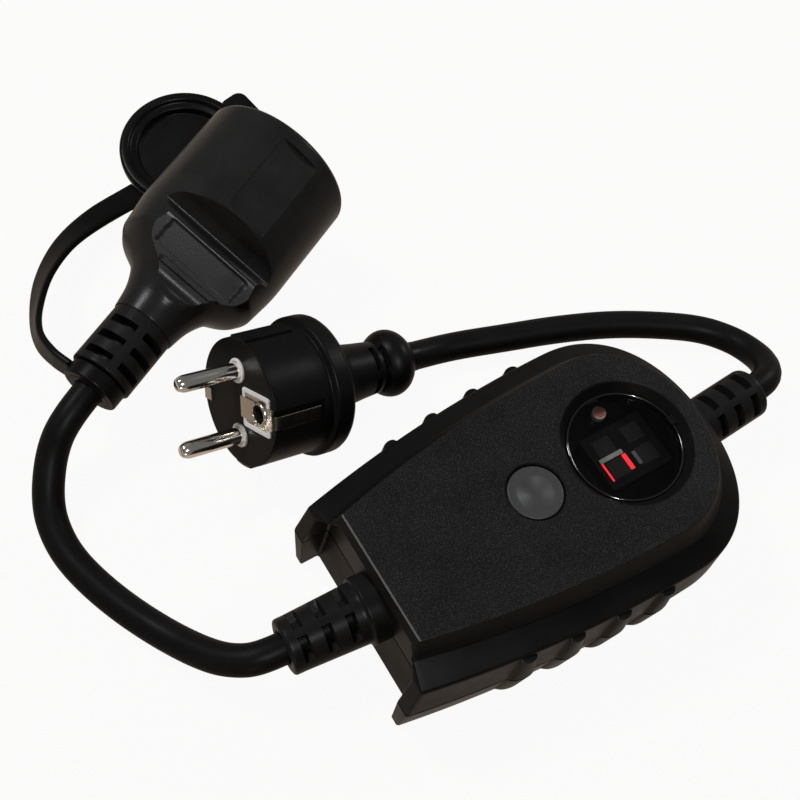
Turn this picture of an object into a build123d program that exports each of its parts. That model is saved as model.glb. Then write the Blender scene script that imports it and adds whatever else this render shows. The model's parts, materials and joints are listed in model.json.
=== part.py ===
from build123d import *
import math
import os

os.makedirs("parts", exist_ok=True)

# Lengths are in millimetres. X runs along the housing, horn ends at -X and round end at +X.
# Z is up from the surface that the housing stands on, and the origin is under the middle of the housing.

# Housing outline, seen from above. The pocket of the round end's strain relief takes a little off the
# tip, so the horn ends stop short by as much and the origin stays under the middle.
LENGTH = 116.0
TIP_LOSS = 0.3
FRONT_X = -LENGTH / 2 + TIP_LOSS
END_X = LENGTH / 2
ROUND_REACH = 31.0
LENS_X = END_X - ROUND_REACH
SIDE_HALF = 38.0
FRONT_HALF = 29.2
HORN_CORNER = 1.0

# Housing levels
HEIGHT = 41.0
PARTING_Z = 17.0
BELT_Z = HEIGHT - 10.4
RISER_Z = HEIGHT - 6.6
TOP_EDGE = 0.6
FOOT_EDGE = 1.4

# Insets of the sides and of the round end, and setback of the horn ends, at those levels
FOOT_INSET = 1.6
BELT_INSET = 0.7
RISER_INSET = 7.7
TOP_INSET = 9.9
END_SHARE = 0.68
BELT_SETBACK = 3.0
RISER_SETBACK = 4.5
TOP_SETBACK = 6.8

# Shell
WALL = 2.6
ROOF = 2.4
FLOOR = 2.4

# Mouth between the horns
MOUTH_DEPTH = 7.7
MOUTH_X = FRONT_X + MOUTH_DEPTH
MOUTH_SLANT = 1.9
MOUTH_HALF = 24.6
MOUTH_HALF_BELT = 24.0
MOUTH_HALF_ROOF = 17.0
MOUTH_ROOF_Z = HEIGHT - 3.3
MOUTH_CORNER = 1.0
CUT_OVER = 1.0

# Grip ribs on the sides
RIB_COUNT = 4
RIB_PITCH = 14.26
RIB_LAST_X = LENS_X - 10.2
RIB_R = 5.0
RIB_PROUD = 1.4
RIB_FOOT_Z = 2.2
RIB_TOP_Z = BELT_Z - 1.6
RIB_END = 1.2

# Lens
RECESS_R = 18.56
RECESS_FOOT_R = 16.7
WINDOW_R = 16.4
WINDOW_FIT = 0.15
WINDOW_TOP_Z = HEIGHT - 2.8
WINDOW_THICK = 2.0
SEAL_THICK = 0.6
SIGHT_R = 15.5
COLLAR_WALL = 2.4
COLLAR_LIP = 1.6
NOTCH = 2.4

# Button
BUTTON_X = LENS_X - 30.5
BUTTON_R = 7.45
BUTTON_GAP = 0.2
BUTTON_RIM = 0.5
BUTTON_SINK = 0.4
BUTTON_TRAVEL = 0.8
FLANGE_R = 8.8
FLANGE_THICK = 1.35
FLANGE_PLAY = 0.05
STEM_R = 2.0
DISH_R = 14.0
DISH_DEPTH = 1.1

# Boards and what they carry
BOARD_THICK = 1.6
MAIN_BOARD_Z = 9.0
MAIN_BOARD_FRONT_X = FRONT_X + 23.7
MAIN_BOARD_END_X = LENS_X + 9.0
MAIN_BOARD_HALF = 19.0
DISPLAY_BOARD_Z = HEIGHT - 14.0
DISPLAY_BOARD_FRONT_X = BUTTON_X - 10.5
DISPLAY_BOARD_PAST_LENS = 11.0
UNDER_DISPLAY_BOARD = DISPLAY_BOARD_Z - MAIN_BOARD_Z - BOARD_THICK
DISPLAY_BOARD_HALF = 17.0
POST_R = 2.5
POST_INSET = 4.0
SPACER_R = 2.2
SPACER_INSET = 3.4
DISPLAY_LONG = 20.5
DISPLAY_WIDE = 17.0
DISPLAY_TALL = 5.4
DISPLAY_SHIFT = 1.75
DIGIT_PITCH = 9.8
DIGIT_WIDE = 6.8
DIGIT_TALL = 12.8
SEGMENT_WIDE = 1.2
SEGMENT_DEEP = 0.6
SENSOR_R = 2.5
SENSOR_THICK = 2.0
SENSOR_TOP = 5.4
SENSOR_SHIFT = 2.0
SENSOR_Y = 12.6
SENSOR_LEG_R = 0.3
SENSOR_LEG_PITCH = 2.6
SWITCH_SIDE = 6.0
SWITCH_TALL = 3.5
PLUNGER_R = 1.7
PLUNGER_FIT = 0.05
PLUNGER_PROUD = 1.3
PLUNGER_DEEP = 1.5
RELAY = (20.0, 16.0, UNDER_DISPLAY_BOARD - 0.8)
RELAY_AT = (LENS_X - 19.0, 8.4)
CAPACITOR = (18.0, 7.0, UNDER_DISPLAY_BOARD - 2.4)
CAPACITOR_AT = (LENS_X - 17.0, -12.5)
VARISTOR_R = 5.0
VARISTOR_THICK = 4.0
VARISTOR_AT = (MAIN_BOARD_FRONT_X + 16.0, 13.0)
FUSE_R = 2.6
FUSE_LONG = 12.0
FUSE_AT = (MAIN_BOARD_FRONT_X + 14.5, -13.0)
TERMINAL = (8.0, 18.0, 9.4)
TERMINAL_INSET = 2.0
HEADER = (10.0, 2.5)
HEADER_AT = (LENS_X - 20.0, -4.5)

# Seal and screws
SEAL_INSET = 0.9
SEAL_WIDE = 0.8
SEAL_DEEP = 0.8
BOSS_R = 3.8
BOSS_FRONT_X = FRONT_X + 17.7
BOSS_FRONT_Y = 19.0
BOSS_END_X = LENS_X + 15.0
BOSS_END_Y = 21.0
SCREW_R = 1.5
SCREW_TIP_Z = HEIGHT - 13.0
SCREW_HOLE_PLAY = 0.2
SCREW_HEAD_R = 3.0
SCREW_HEAD_TALL = 2.4
SCREW_HEAD_SINK = 1.0
DRIVE_LONG = 3.6
DRIVE_WIDE = 0.8
DRIVE_DEEP = 1.2

# Cable and moulded strain reliefs
CABLE_R = 4.4
GLAND_NECK_R = 6.5
GLAND_FLANGE_R = 8.5
GLAND_FLANGE_THICK = 2.0
GLAND_COLLAR_R = 9.2
GLAND_COLLAR_THICK = 2.0
GLAND_REACH = 26.5
GLAND_FOOT_R = 8.7
GLAND_TIP_R = 7.6
END_GLAND_COLLAR_R = 8.3
END_GLAND_SINK = 1.0
END_GLAND_LEAN = 3.5
FRONT_GLAND_LEAN = 4.0
GLAND_POCKET_PLAY = 0.2
SLOT_COUNT = 5
SLOT_WIDE = 2.6
SLOT_PITCH = 6.6
SLOT_FIRST = 8.8
SLOT_FLOOR_R = 5.6
SLOT_BRIDGE = 2.6
FRONT_SLOT_TURN = 0.0
END_SLOT_TURN = 12.5
CABLE_END_PROUD = 5.0
WIRE_R = 1.1
WIRE_SPREAD = 2.6
WIRE_FAN = 5.0
WIRE_Z = 15.0

# Plug
PLUG_FACE = (-55.3, 65.5, 27.0)
PLUG_AXIS = (-0.9475, 0.0200, 0.3192)
PLUG_ACROSS = (0.301, 0.597, 0.743)
PLUG_FACE_R = 18.4
PLUG_BODY_LONG = 19.0
PLUG_FLANGE_R = 20.8
PLUG_FLANGE_LONG = 6.0
PLUG_NECK_FOOT_R = 9.0
PLUG_NECK_FOOT = 31.0
PLUG_NECK_R = 7.5
PLUG_NECK = 46.0
PLUG_BALL_R = 9.7
PLUG_BALL = 53.9
PLUG_END = 62.0
PIN_R = 2.4
PIN_LONG = 19.0
PIN_ROOT = 12.0
PIN_ROOT_R = 1.9
PIN_STEP = 0.65
PIN_TIP_ROUND = 1.92
PIN_PITCH = 19.0
PIN_COLLAR_R = 3.6
PIN_COLLAR_PROUD = 0.6
PIN_COLLAR_DEEP = 3.0
EARTH_OFFSET = 9.0
EARTH_PLATE = (9.8, 11.2, 1.2)
EARTH_HOLE_OFFSET = 10.7
EARTH_HOLE_R = 2.3
EARTH_HOLE_DEEP = 14.0
EARTH_FRAME_WALL = 1.0
SIDE_CLIP = (5.0, 14.0, 0.8)
SIDE_CLIP_START = 2.0
SIDE_CLIP_PROUD = 0.4
PLUG_SLOT_FIRST = 43.5
PLUG_SLOT_PITCH = 4.0
PLUG_SLOT_WIDE = 2.0
PLUG_SLOT_FLOOR_R = 6.0
PLUG_SLOT_TURN = -85.0

# Coupler
COUPLER_MOUTH = (-6.1, 133.3, 26.4)
COUPLER_AXIS = (0.8897, 0.4515, 0.0682)
COUPLER_TOP = (0.04, -0.47, 0.88)
HEAD_R = 24.2
HEAD_EDGE = 1.0
HEAD_LONG = 35.0
SHOULDER = 46.0
SHOULDER_R = 23.4
SHOULDER_END = 50.5
SHOULDER_END_R = 21.0
THROAT = 55.0
THROAT_R = 14.5
COUPLER_END = 68.0
COUPLER_END_R = 9.8
GRIP_START = 32.3
GRIP_FLOOR = 39.3
GRIP_FLOOR_H = 13.6
GRIP_RIDGE = 42.2
GRIP_RIDGE_H = 17.5
GRIP_SHELF = 56.0
GRIP_SHELF_H = 10.6
WELL_R = 19.6
WELL_DEEP = 17.5
CAP_SEAT_R = 21.4
CAP_SEAT_DEEP = 2.6
INSERT_THICK = 11.5
CONTACT_HOLE_R = 2.6
SLEEVE_R = 3.3
SLEEVE_LONG = 8.0
SLEEVE_SINK = 2.0
INSERT_R = 19.0
EARTH_SPRING = (6.0, 14.9, 1.0)
EARTH_SPRING_IN = 19.45
SPRING_SLOT_PLAY = 0.2
RELIEF_R = 9.4
RELIEF_END = 87.4
RELIEF_SLOT_PITCH = 5.6
RELIEF_SLOT_FIRST = 72.8
RELIEF_SLOT_TURN = 90.0
NOSE_R = 6.6
NOSE_END = 92.6
NOSE_FIT = 0.05

# Strap and sealing cap
RING_R = 8.6
RING_PLAY = 0.3
STRAP_WIDE = 9.0
STRAP_THICK = 2.2
STRAP_TIP_THICK = 0.8
STRAP_GAP = 0.3
CAP_RIM = (-21.3, 167.35, 7.35)
CAP_NORMAL = (-0.08, -0.09, 0.99)
CAP_R = 21.2
CAP_TALL = 4.8
CAP_FLOOR = 1.8
CAP_EDGE = 0.8
CAP_LIP = 1.6
CAP_INNER_R = 18.5
TAB_REACH = 28.4
TAB_WIDE = 13.0
TAB_THICK = 2.4
TAB_TURN = 10.0

# Leads: the points are chosen along the route, and each arc takes this share of its shorter run
ARC_SHARE = 0.45


def unit(values):
    return Vector(*values).normalized()


def square_to(direction, axis):
    return (direction - axis * direction.dot(axis)).normalized()


def profile_plane(frame):
    """The plane through a frame's axis, for profiles drawn as (radius, height)."""
    return Plane(origin=frame.origin, x_dir=frame.x_dir, z_dir=-frame.y_dir)


def half_width(x, inset):
    narrowing = (SIDE_HALF - FRONT_HALF) * ((LENS_X - x) / (LENS_X - FRONT_X)) ** 2
    return SIDE_HALF - inset - narrowing


def plan(z, front_x, inset, end_inset):
    """The housing's outline at one height: flat front, bowed sides and a half-ellipse end."""
    front = half_width(front_x, inset)
    side = SIDE_HALF - inset
    reach = ROUND_REACH - end_inset
    with BuildSketch(Plane.XY.offset(z)) as outline:
        with BuildLine():
            Line((front_x, front), (front_x, -front))
            TangentArc((LENS_X, -side), (front_x, -front), tangent=(-1, 0))
            EllipticalCenterArc((LENS_X, 0), reach, side, start_angle=-90, arc_size=180)
            TangentArc((LENS_X, side), (front_x, front), tangent=(-1, 0))
        make_face()
        fillet(outline.vertices().group_by(Axis.X)[0], radius=HORN_CORNER)
    return outline.sketch


def mouth_section(z, wall_x, half):
    with BuildSketch(Plane.XY.offset(z)) as opening:
        with BuildLine():
            far_x = FRONT_X - MOUTH_DEPTH
            Polyline((far_x, -half), (wall_x, -half), (wall_x, half), (far_x, half), close=True)
        make_face()
        fillet(opening.vertices().group_by(Axis.X)[-1], radius=MOUTH_CORNER)
    return opening.sketch


def belt_inset(z):
    return BELT_INSET * (z - PARTING_Z) / (BELT_Z - PARTING_Z)


def foot_inset(z):
    return FOOT_INSET * (PARTING_Z - z) / (PARTING_Z - FOOT_EDGE)


def rib_circle(x, side, z, inset, radius):
    y = side * (half_width(x, inset) + RIB_PROUD - RIB_R)
    with BuildSketch(Plane.XY.offset(z)) as ring:
        with Locations((x, y)):
            Circle(radius)
    return ring.sketch


def upper_rib(x, side):
    straight_z = RIB_TOP_Z - RIB_END
    return [
        rib_circle(x, side, PARTING_Z, 0, RIB_R),
        rib_circle(x, side, straight_z, belt_inset(straight_z), RIB_R),
        rib_circle(x, side, RIB_TOP_Z, belt_inset(RIB_TOP_Z), RIB_R - RIB_END),
    ]


def lower_rib(x, side):
    straight_z = RIB_FOOT_Z + RIB_END
    return [
        rib_circle(x, side, RIB_FOOT_Z, foot_inset(RIB_FOOT_Z), RIB_R - RIB_END),
        rib_circle(x, side, straight_z, foot_inset(straight_z), RIB_R),
        rib_circle(x, side, PARTING_Z, 0, RIB_R),
    ]


def slot_cutters(frame, distances, floor_r, rim_r, wide, turn):
    """Rows of arc-shaped slots round a frame's axis, with the bridges between them in line."""
    with BuildPart() as rows:
        for distance in distances:
            with BuildSketch(frame.offset(distance - wide / 2)):
                Circle(rim_r)
                Circle(floor_r, mode=Mode.SUBTRACT)
                with PolarLocations(0, SLOT_COUNT, start_angle=turn):
                    Rectangle(2 * rim_r, SLOT_BRIDGE, align=(Align.MIN, Align.CENTER), mode=Mode.SUBTRACT)
            extrude(amount=wide)
    return rows.part


def arc_radii(points):
    radii = []
    for before, corner, after in zip(points, points[1:], points[2:]):
        arriving = Vector(*corner) - Vector(*before)
        leaving = Vector(*after) - Vector(*corner)
        half_turn = math.radians(arriving.get_angle(leaving)) / 2
        radii.append(ARC_SHARE * min(arriving.length, leaving.length) / math.tan(half_turn))
    return radii


def lead_tube(points, name):
    radii = arc_radii(points)
    with BuildPart() as tube:
        with BuildLine() as route:
            FilletPolyline(*points, radius=radii)
        start = Vector(*points[0])
        leaving = (Vector(*points[1]) - start).normalized()
        with BuildSketch(Plane(origin=start, z_dir=leaving)):
            Circle(CABLE_R)
        sweep(path=route.wires()[0])
    length = route.wires()[0].length
    print(name, "arc radii", [round(radius, 1) for radius in radii])
    print(name, "length", round(length, 1), "volume share", tube.part.volume / (length * math.pi * CABLE_R ** 2))
    return tube.part


# Frames of the pieces that lie at an angle
plug_axis = unit(PLUG_AXIS)
PLUG = Plane(origin=PLUG_FACE, x_dir=square_to(unit(PLUG_ACROSS), plug_axis), z_dir=plug_axis)
coupler_axis = unit(COUPLER_AXIS)
coupler_up = square_to(unit(COUPLER_TOP), coupler_axis)
COUPLER = Plane(origin=COUPLER_MOUTH, x_dir=coupler_up.cross(coupler_axis), z_dir=coupler_axis)
front_lean = math.radians(FRONT_GLAND_LEAN)
FRONT_GLAND = Plane(
    origin=(MOUTH_X, 0, PARTING_Z),
    x_dir=(0, 0, 1),
    z_dir=(-math.cos(front_lean), math.sin(front_lean), 0),
)
end_lean = math.radians(END_GLAND_LEAN)
END_GLAND_X = END_X - END_GLAND_SINK
END_GLAND = Plane(
    origin=(END_GLAND_X, 0, PARTING_Z),
    x_dir=(0, 0, 1),
    z_dir=(math.cos(end_lean), math.sin(end_lean), 0),
)
ACROSS_WALL = Plane(origin=(0, 0, PARTING_Z), x_dir=(0, 1, 0), z_dir=(1, 0, 0))

# Heights and places that follow from the sizes above
CAVITY_X = MOUTH_X + WALL
CAVITY_END_X = END_X - WALL
ROOF_Z = HEIGHT - ROOF
MAIN_TOP_Z = MAIN_BOARD_Z + BOARD_THICK
DISPLAY_TOP_Z = DISPLAY_BOARD_Z + BOARD_THICK
DISPLAY_BOARD_END_X = LENS_X + DISPLAY_BOARD_PAST_LENS
WINDOW_Z = WINDOW_TOP_Z - WINDOW_THICK
LEDGE_Z = WINDOW_Z - SEAL_THICK
SWITCH_TOP_Z = DISPLAY_TOP_Z + SWITCH_TALL
PLUNGER_TOP_Z = SWITCH_TOP_Z + PLUNGER_PROUD
FLANGE_TOP_Z = ROOF_Z - FLANGE_PLAY
RIB_XS = [RIB_LAST_X - RIB_PITCH * index for index in range(RIB_COUNT)]
BOSSES = [
    (BOSS_FRONT_X, BOSS_FRONT_Y),
    (BOSS_FRONT_X, -BOSS_FRONT_Y),
    (BOSS_END_X, BOSS_END_Y),
    (BOSS_END_X, -BOSS_END_Y),
]
POSTS = [
    (x, y)
    for x in (MAIN_BOARD_FRONT_X + POST_INSET, MAIN_BOARD_END_X - POST_INSET)
    for y in (MAIN_BOARD_HALF - POST_INSET, POST_INSET - MAIN_BOARD_HALF)
]
SPACERS = [
    (x, y)
    for x in (DISPLAY_BOARD_FRONT_X + SPACER_INSET, MAIN_BOARD_END_X - SPACER_INSET)
    for y in (DISPLAY_BOARD_HALF - SPACER_INSET, SPACER_INSET - DISPLAY_BOARD_HALF)
]

# Upper housing
shell_sections = [
    plan(PARTING_Z, FRONT_X, 0, 0),
    plan(BELT_Z, FRONT_X + BELT_SETBACK, BELT_INSET, BELT_INSET * END_SHARE),
    plan(RISER_Z, FRONT_X + RISER_SETBACK, RISER_INSET, RISER_INSET * END_SHARE),
    plan(HEIGHT - TOP_EDGE, FRONT_X + TOP_SETBACK, TOP_INSET, TOP_INSET * END_SHARE),
    plan(HEIGHT, FRONT_X + TOP_SETBACK + TOP_EDGE, TOP_INSET + TOP_EDGE, TOP_INSET * END_SHARE + TOP_EDGE),
]
hollow_sections = [
    plan(PARTING_Z, CAVITY_X, WALL, WALL),
    plan(BELT_Z - WALL / 2, CAVITY_X, BELT_INSET + WALL, BELT_INSET * END_SHARE + WALL),
    plan(RISER_Z - WALL / 2, CAVITY_X, RISER_INSET + WALL, RISER_INSET * END_SHARE + WALL),
    plan(ROOF_Z, CAVITY_X, TOP_INSET + WALL, TOP_INSET * END_SHARE + WALL),
]
mouth_upper = [
    mouth_section(PARTING_Z, MOUTH_X, MOUTH_HALF),
    mouth_section(BELT_Z, MOUTH_X, MOUTH_HALF_BELT),
    mouth_section(MOUTH_ROOF_Z, MOUTH_X, MOUTH_HALF_ROOF),
]

with BuildPart() as upper_hollow:
    loft(sections=hollow_sections, ruled=True)
    with BuildSketch(Plane.XY.offset(PARTING_Z)):
        with Locations(BOSSES):
            Circle(BOSS_R)
    extrude(amount=HEIGHT - PARTING_Z, mode=Mode.SUBTRACT)
    with BuildSketch(Plane.XY.offset(LEDGE_Z - COLLAR_LIP)):
        with Locations((LENS_X, 0)):
            Circle(RECESS_FOOT_R + COLLAR_WALL)
    extrude(amount=HEIGHT - LEDGE_Z, mode=Mode.SUBTRACT)

with BuildPart() as upper_housing:
    loft(sections=shell_sections, ruled=True)
    for rib_x in RIB_XS:
        for side in (1, -1):
            loft(sections=upper_rib(rib_x, side), ruled=True)
    add(upper_hollow.part, mode=Mode.SUBTRACT)
    loft(sections=mouth_upper, ruled=True, mode=Mode.SUBTRACT)
    with BuildSketch(Plane.XY.offset(LEDGE_Z - COLLAR_LIP)):
        with Locations((LENS_X, 0)):
            Circle(SIGHT_R)
    extrude(amount=HEIGHT, mode=Mode.SUBTRACT)
    with BuildSketch(Plane.XY.offset(LEDGE_Z)):
        with Locations((LENS_X, 0)):
            Circle(WINDOW_R + WINDOW_FIT)
    extrude(amount=HEIGHT, mode=Mode.SUBTRACT)
    with BuildSketch(Plane.XZ) as recess_profile:
        with BuildLine():
            Polyline(
                (LENS_X, WINDOW_TOP_Z),
                (LENS_X + RECESS_FOOT_R, WINDOW_TOP_Z),
                (LENS_X + RECESS_R, HEIGHT),
                (LENS_X, HEIGHT),
                close=True,
            )
        make_face()
    revolve(axis=Axis((LENS_X, 0, 0), (0, 0, 1)), mode=Mode.SUBTRACT)
    with BuildSketch(Plane.XY.offset(WINDOW_TOP_Z)):
        with Locations((LENS_X + RECESS_FOOT_R, 0)):
            Rectangle(NOTCH, 2 * NOTCH)
    extrude(amount=NOTCH / 2, mode=Mode.SUBTRACT)
    with BuildSketch(Plane.XZ) as button_hole_profile:
        with BuildLine():
            hole_r = BUTTON_R + BUTTON_GAP
            Polyline(
                (BUTTON_X, ROOF_Z - CUT_OVER),
                (BUTTON_X + hole_r, ROOF_Z - CUT_OVER),
                (BUTTON_X + hole_r, HEIGHT - BUTTON_RIM),
                (BUTTON_X + hole_r + BUTTON_RIM, HEIGHT),
                (BUTTON_X, HEIGHT),
                close=True,
            )
        make_face()
    revolve(axis=Axis((BUTTON_X, 0, 0), (0, 0, 1)), mode=Mode.SUBTRACT)
    with BuildSketch(Plane.XY.offset(PARTING_Z)):
        with Locations(BOSSES):
            Circle(SCREW_R)
    extrude(amount=SCREW_TIP_Z + CUT_OVER - PARTING_Z, mode=Mode.SUBTRACT)
    with BuildSketch(ACROSS_WALL):
        Circle(GLAND_NECK_R)
    extrude(amount=LENGTH, both=True, mode=Mode.SUBTRACT)
    with BuildSketch(ACROSS_WALL.offset(END_GLAND_X)):
        Circle(END_GLAND_COLLAR_R + GLAND_POCKET_PLAY)
    extrude(amount=GLAND_REACH, mode=Mode.SUBTRACT)
    with BuildSketch(ACROSS_WALL.offset(CAVITY_END_X)):
        Circle(GLAND_FLANGE_R + GLAND_POCKET_PLAY)
    extrude(amount=-WALL, mode=Mode.SUBTRACT)
upper_housing.part.label = "upper_housing"
export_step(upper_housing.part, "parts/upper_housing.step")

# Lower housing
tray_sections = [
    plan(0, FRONT_X + FOOT_EDGE, FOOT_INSET + FOOT_EDGE, FOOT_INSET + FOOT_EDGE),
    plan(FOOT_EDGE, FRONT_X + FOOT_EDGE / 2, FOOT_INSET, FOOT_INSET),
    plan(PARTING_Z, FRONT_X, 0, 0),
]
tray_hollow_sections = [
    plan(FLOOR, CAVITY_X, FOOT_INSET + WALL, FOOT_INSET + WALL),
    plan(PARTING_Z, CAVITY_X, WALL, WALL),
]
mouth_lower = [
    mouth_section(-CUT_OVER, MOUTH_X - MOUTH_SLANT, MOUTH_HALF),
    mouth_section(PARTING_Z, MOUTH_X, MOUTH_HALF),
]

with BuildPart() as tray_hollow:
    loft(sections=tray_hollow_sections, ruled=True)
    with BuildSketch(Plane.XY.offset(FLOOR)):
        with Locations(BOSSES):
            Circle(BOSS_R)
    extrude(amount=PARTING_Z - FLOOR, mode=Mode.SUBTRACT)
    with BuildSketch(Plane.XY.offset(FLOOR)):
        with Locations(POSTS):
            Circle(POST_R)
    extrude(amount=MAIN_BOARD_Z - FLOOR, mode=Mode.SUBTRACT)

with BuildPart() as seal_groove:
    outer_x = MOUTH_X + SEAL_INSET
    inner_inset = SEAL_INSET + SEAL_WIDE
    add(plan(PARTING_Z - SEAL_DEEP, outer_x, SEAL_INSET, SEAL_INSET))
    extrude(amount=SEAL_DEEP)
    add(plan(PARTING_Z - SEAL_DEEP, outer_x + SEAL_WIDE, inner_inset, inner_inset))
    extrude(amount=SEAL_DEEP, mode=Mode.SUBTRACT)
    with BuildSketch(ACROSS_WALL):
        Circle(GLAND_COLLAR_R + GLAND_POCKET_PLAY + SEAL_WIDE)
    extrude(amount=LENGTH, both=True, mode=Mode.SUBTRACT)

with BuildPart() as lower_housing:
    loft(sections=tray_sections, ruled=True)
    for rib_x in RIB_XS:
        for side in (1, -1):
            loft(sections=lower_rib(rib_x, side), ruled=True)
    add(tray_hollow.part, mode=Mode.SUBTRACT)
    loft(sections=mouth_lower, ruled=True, mode=Mode.SUBTRACT)
    add(seal_groove.part, mode=Mode.SUBTRACT)
    with BuildSketch(Plane.XY):
        with Locations(BOSSES):
            Circle(SCREW_HEAD_R + SCREW_HOLE_PLAY)
    extrude(amount=SCREW_HEAD_SINK + SCREW_HEAD_TALL, mode=Mode.SUBTRACT)
    with BuildSketch(Plane.XY):
        with Locations(BOSSES):
            Circle(SCREW_R + SCREW_HOLE_PLAY)
    extrude(amount=PARTING_Z, mode=Mode.SUBTRACT)
    with BuildSketch(ACROSS_WALL):
        Circle(GLAND_NECK_R)
    extrude(amount=LENGTH, both=True, mode=Mode.SUBTRACT)
    with BuildSketch(ACROSS_WALL.offset(MOUTH_X)):
        Circle(GLAND_COLLAR_R + GLAND_POCKET_PLAY)
    extrude(amount=-MOUTH_DEPTH, mode=Mode.SUBTRACT)
    with BuildSketch(ACROSS_WALL.offset(END_GLAND_X)):
        Circle(END_GLAND_COLLAR_R + GLAND_POCKET_PLAY)
    extrude(amount=GLAND_REACH, mode=Mode.SUBTRACT)
    with BuildSketch(ACROSS_WALL.offset(CAVITY_END_X)):
        Circle(GLAND_FLANGE_R + GLAND_POCKET_PLAY)
    extrude(amount=-WALL, mode=Mode.SUBTRACT)
lower_housing.part.label = "lower_housing"
export_step(lower_housing.part, "parts/lower_housing.step")

# Housing seal, in two lengths between the strain reliefs
seal_groove.part.label = "housing_seal"
export_step(seal_groove.part, "parts/housing_seal.step")

# Housing screws
with BuildPart() as housing_screws:
    with BuildSketch(Plane.XY.offset(SCREW_HEAD_SINK)):
        with Locations(BOSSES):
            Circle(SCREW_HEAD_R)
    extrude(amount=SCREW_HEAD_TALL)
    with BuildSketch(Plane.XY.offset(SCREW_HEAD_SINK)):
        with Locations(BOSSES):
            Circle(SCREW_R)
    extrude(amount=SCREW_TIP_Z - SCREW_HEAD_SINK)
    with BuildSketch(Plane.XY.offset(SCREW_HEAD_SINK)):
        with Locations(BOSSES):
            Rectangle(DRIVE_LONG, DRIVE_WIDE)
            Rectangle(DRIVE_WIDE, DRIVE_LONG)
    extrude(amount=DRIVE_DEEP, mode=Mode.SUBTRACT)
housing_screws.part.label = "housing_screws"
export_step(housing_screws.part, "parts/housing_screws.step")

# Lens window and its seal
with BuildPart() as lens_window:
    with BuildSketch(Plane.XY.offset(WINDOW_Z)):
        with Locations((LENS_X, 0)):
            Circle(WINDOW_R)
    extrude(amount=WINDOW_THICK)
lens_window.part.label = "lens_window"
export_step(lens_window.part, "parts/lens_window.step")

with BuildPart() as window_seal:
    with BuildSketch(Plane.XY.offset(LEDGE_Z)):
        with Locations((LENS_X, 0)):
            Circle(WINDOW_R)
            Circle(SIGHT_R, mode=Mode.SUBTRACT)
    extrude(amount=SEAL_THICK)
window_seal.part.label = "window_seal"
export_step(window_seal.part, "parts/window_seal.step")

# Push button
with BuildPart() as push_button:
    button_top_z = HEIGHT - BUTTON_SINK
    flange_z = FLANGE_TOP_Z - FLANGE_THICK
    with BuildSketch(Plane.XZ) as button_profile:
        with BuildLine():
            Polyline(
                (BUTTON_X, PLUNGER_TOP_Z),
                (BUTTON_X + STEM_R, PLUNGER_TOP_Z),
                (BUTTON_X + STEM_R, flange_z),
                (BUTTON_X + FLANGE_R, flange_z),
                (BUTTON_X + FLANGE_R, FLANGE_TOP_Z),
                (BUTTON_X + BUTTON_R, FLANGE_TOP_Z),
                (BUTTON_X + BUTTON_R, button_top_z - BUTTON_RIM),
                (BUTTON_X + BUTTON_R - BUTTON_RIM, button_top_z),
                (BUTTON_X, button_top_z),
                close=True,
            )
        make_face()
    revolve(axis=Axis((BUTTON_X, 0, 0), (0, 0, 1)))
    with Locations((BUTTON_X, 0, button_top_z - DISH_DEPTH + DISH_R)):
        Sphere(DISH_R, mode=Mode.SUBTRACT)
push_button.part.label = "push_button"
export_step(push_button.part, "parts/push_button.step")

# Switch under the button
with BuildPart() as button_switch:
    with BuildSketch(Plane.XY.offset(DISPLAY_TOP_Z)):
        with Locations((BUTTON_X, 0)):
            Rectangle(SWITCH_SIDE, SWITCH_SIDE)
    extrude(amount=SWITCH_TALL)
    with BuildSketch(Plane.XY.offset(SWITCH_TOP_Z)):
        with Locations((BUTTON_X, 0)):
            Circle(PLUNGER_R + PLUNGER_FIT)
    extrude(amount=-(PLUNGER_DEEP + BUTTON_TRAVEL + PLUNGER_FIT), mode=Mode.SUBTRACT)
button_switch.part.label = "button_switch"
export_step(button_switch.part, "parts/button_switch.step")

with BuildPart() as switch_plunger:
    with BuildSketch(Plane.XY.offset(PLUNGER_TOP_Z)):
        with Locations((BUTTON_X, 0)):
            Circle(PLUNGER_R)
    extrude(amount=-(PLUNGER_PROUD + PLUNGER_DEEP))
switch_plunger.part.label = "switch_plunger"
export_step(switch_plunger.part, "parts/switch_plunger.step")


def board(z, front_x, end_x, half):
    with BuildPart() as plate:
        with BuildSketch(Plane.XY.offset(z)):
            with Locations(((front_x + end_x) / 2, 0)):
                RectangleRounded(end_x - front_x, 2 * half, SPACER_INSET / 2)
        extrude(amount=BOARD_THICK)
    return plate.part


def block(place, size, z):
    with BuildPart() as body:
        with BuildSketch(Plane.XY.offset(z)):
            with Locations(place):
                Rectangle(size[0], size[1])
        extrude(amount=size[2])
    return body.part


# Circuit boards and spacers
circuit_board = board(MAIN_BOARD_Z, MAIN_BOARD_FRONT_X, MAIN_BOARD_END_X, MAIN_BOARD_HALF)
circuit_board.label = "circuit_board"
export_step(circuit_board, "parts/circuit_board.step")

display_board = board(DISPLAY_BOARD_Z, DISPLAY_BOARD_FRONT_X, DISPLAY_BOARD_END_X, DISPLAY_BOARD_HALF)
display_board.label = "display_board"
export_step(display_board, "parts/display_board.step")

with BuildPart() as board_spacers:
    with BuildSketch(Plane.XY.offset(MAIN_TOP_Z)):
        with Locations(SPACERS):
            Circle(SPACER_R)
    extrude(amount=DISPLAY_BOARD_Z - MAIN_TOP_Z)
board_spacers.part.label = "board_spacers"
export_step(board_spacers.part, "parts/board_spacers.step")

header_size = (HEADER[0], HEADER[1], DISPLAY_BOARD_Z - MAIN_TOP_Z)
pin_header = block(HEADER_AT, header_size, MAIN_TOP_Z)
pin_header.label = "pin_header"
export_step(pin_header, "parts/pin_header.step")

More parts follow.
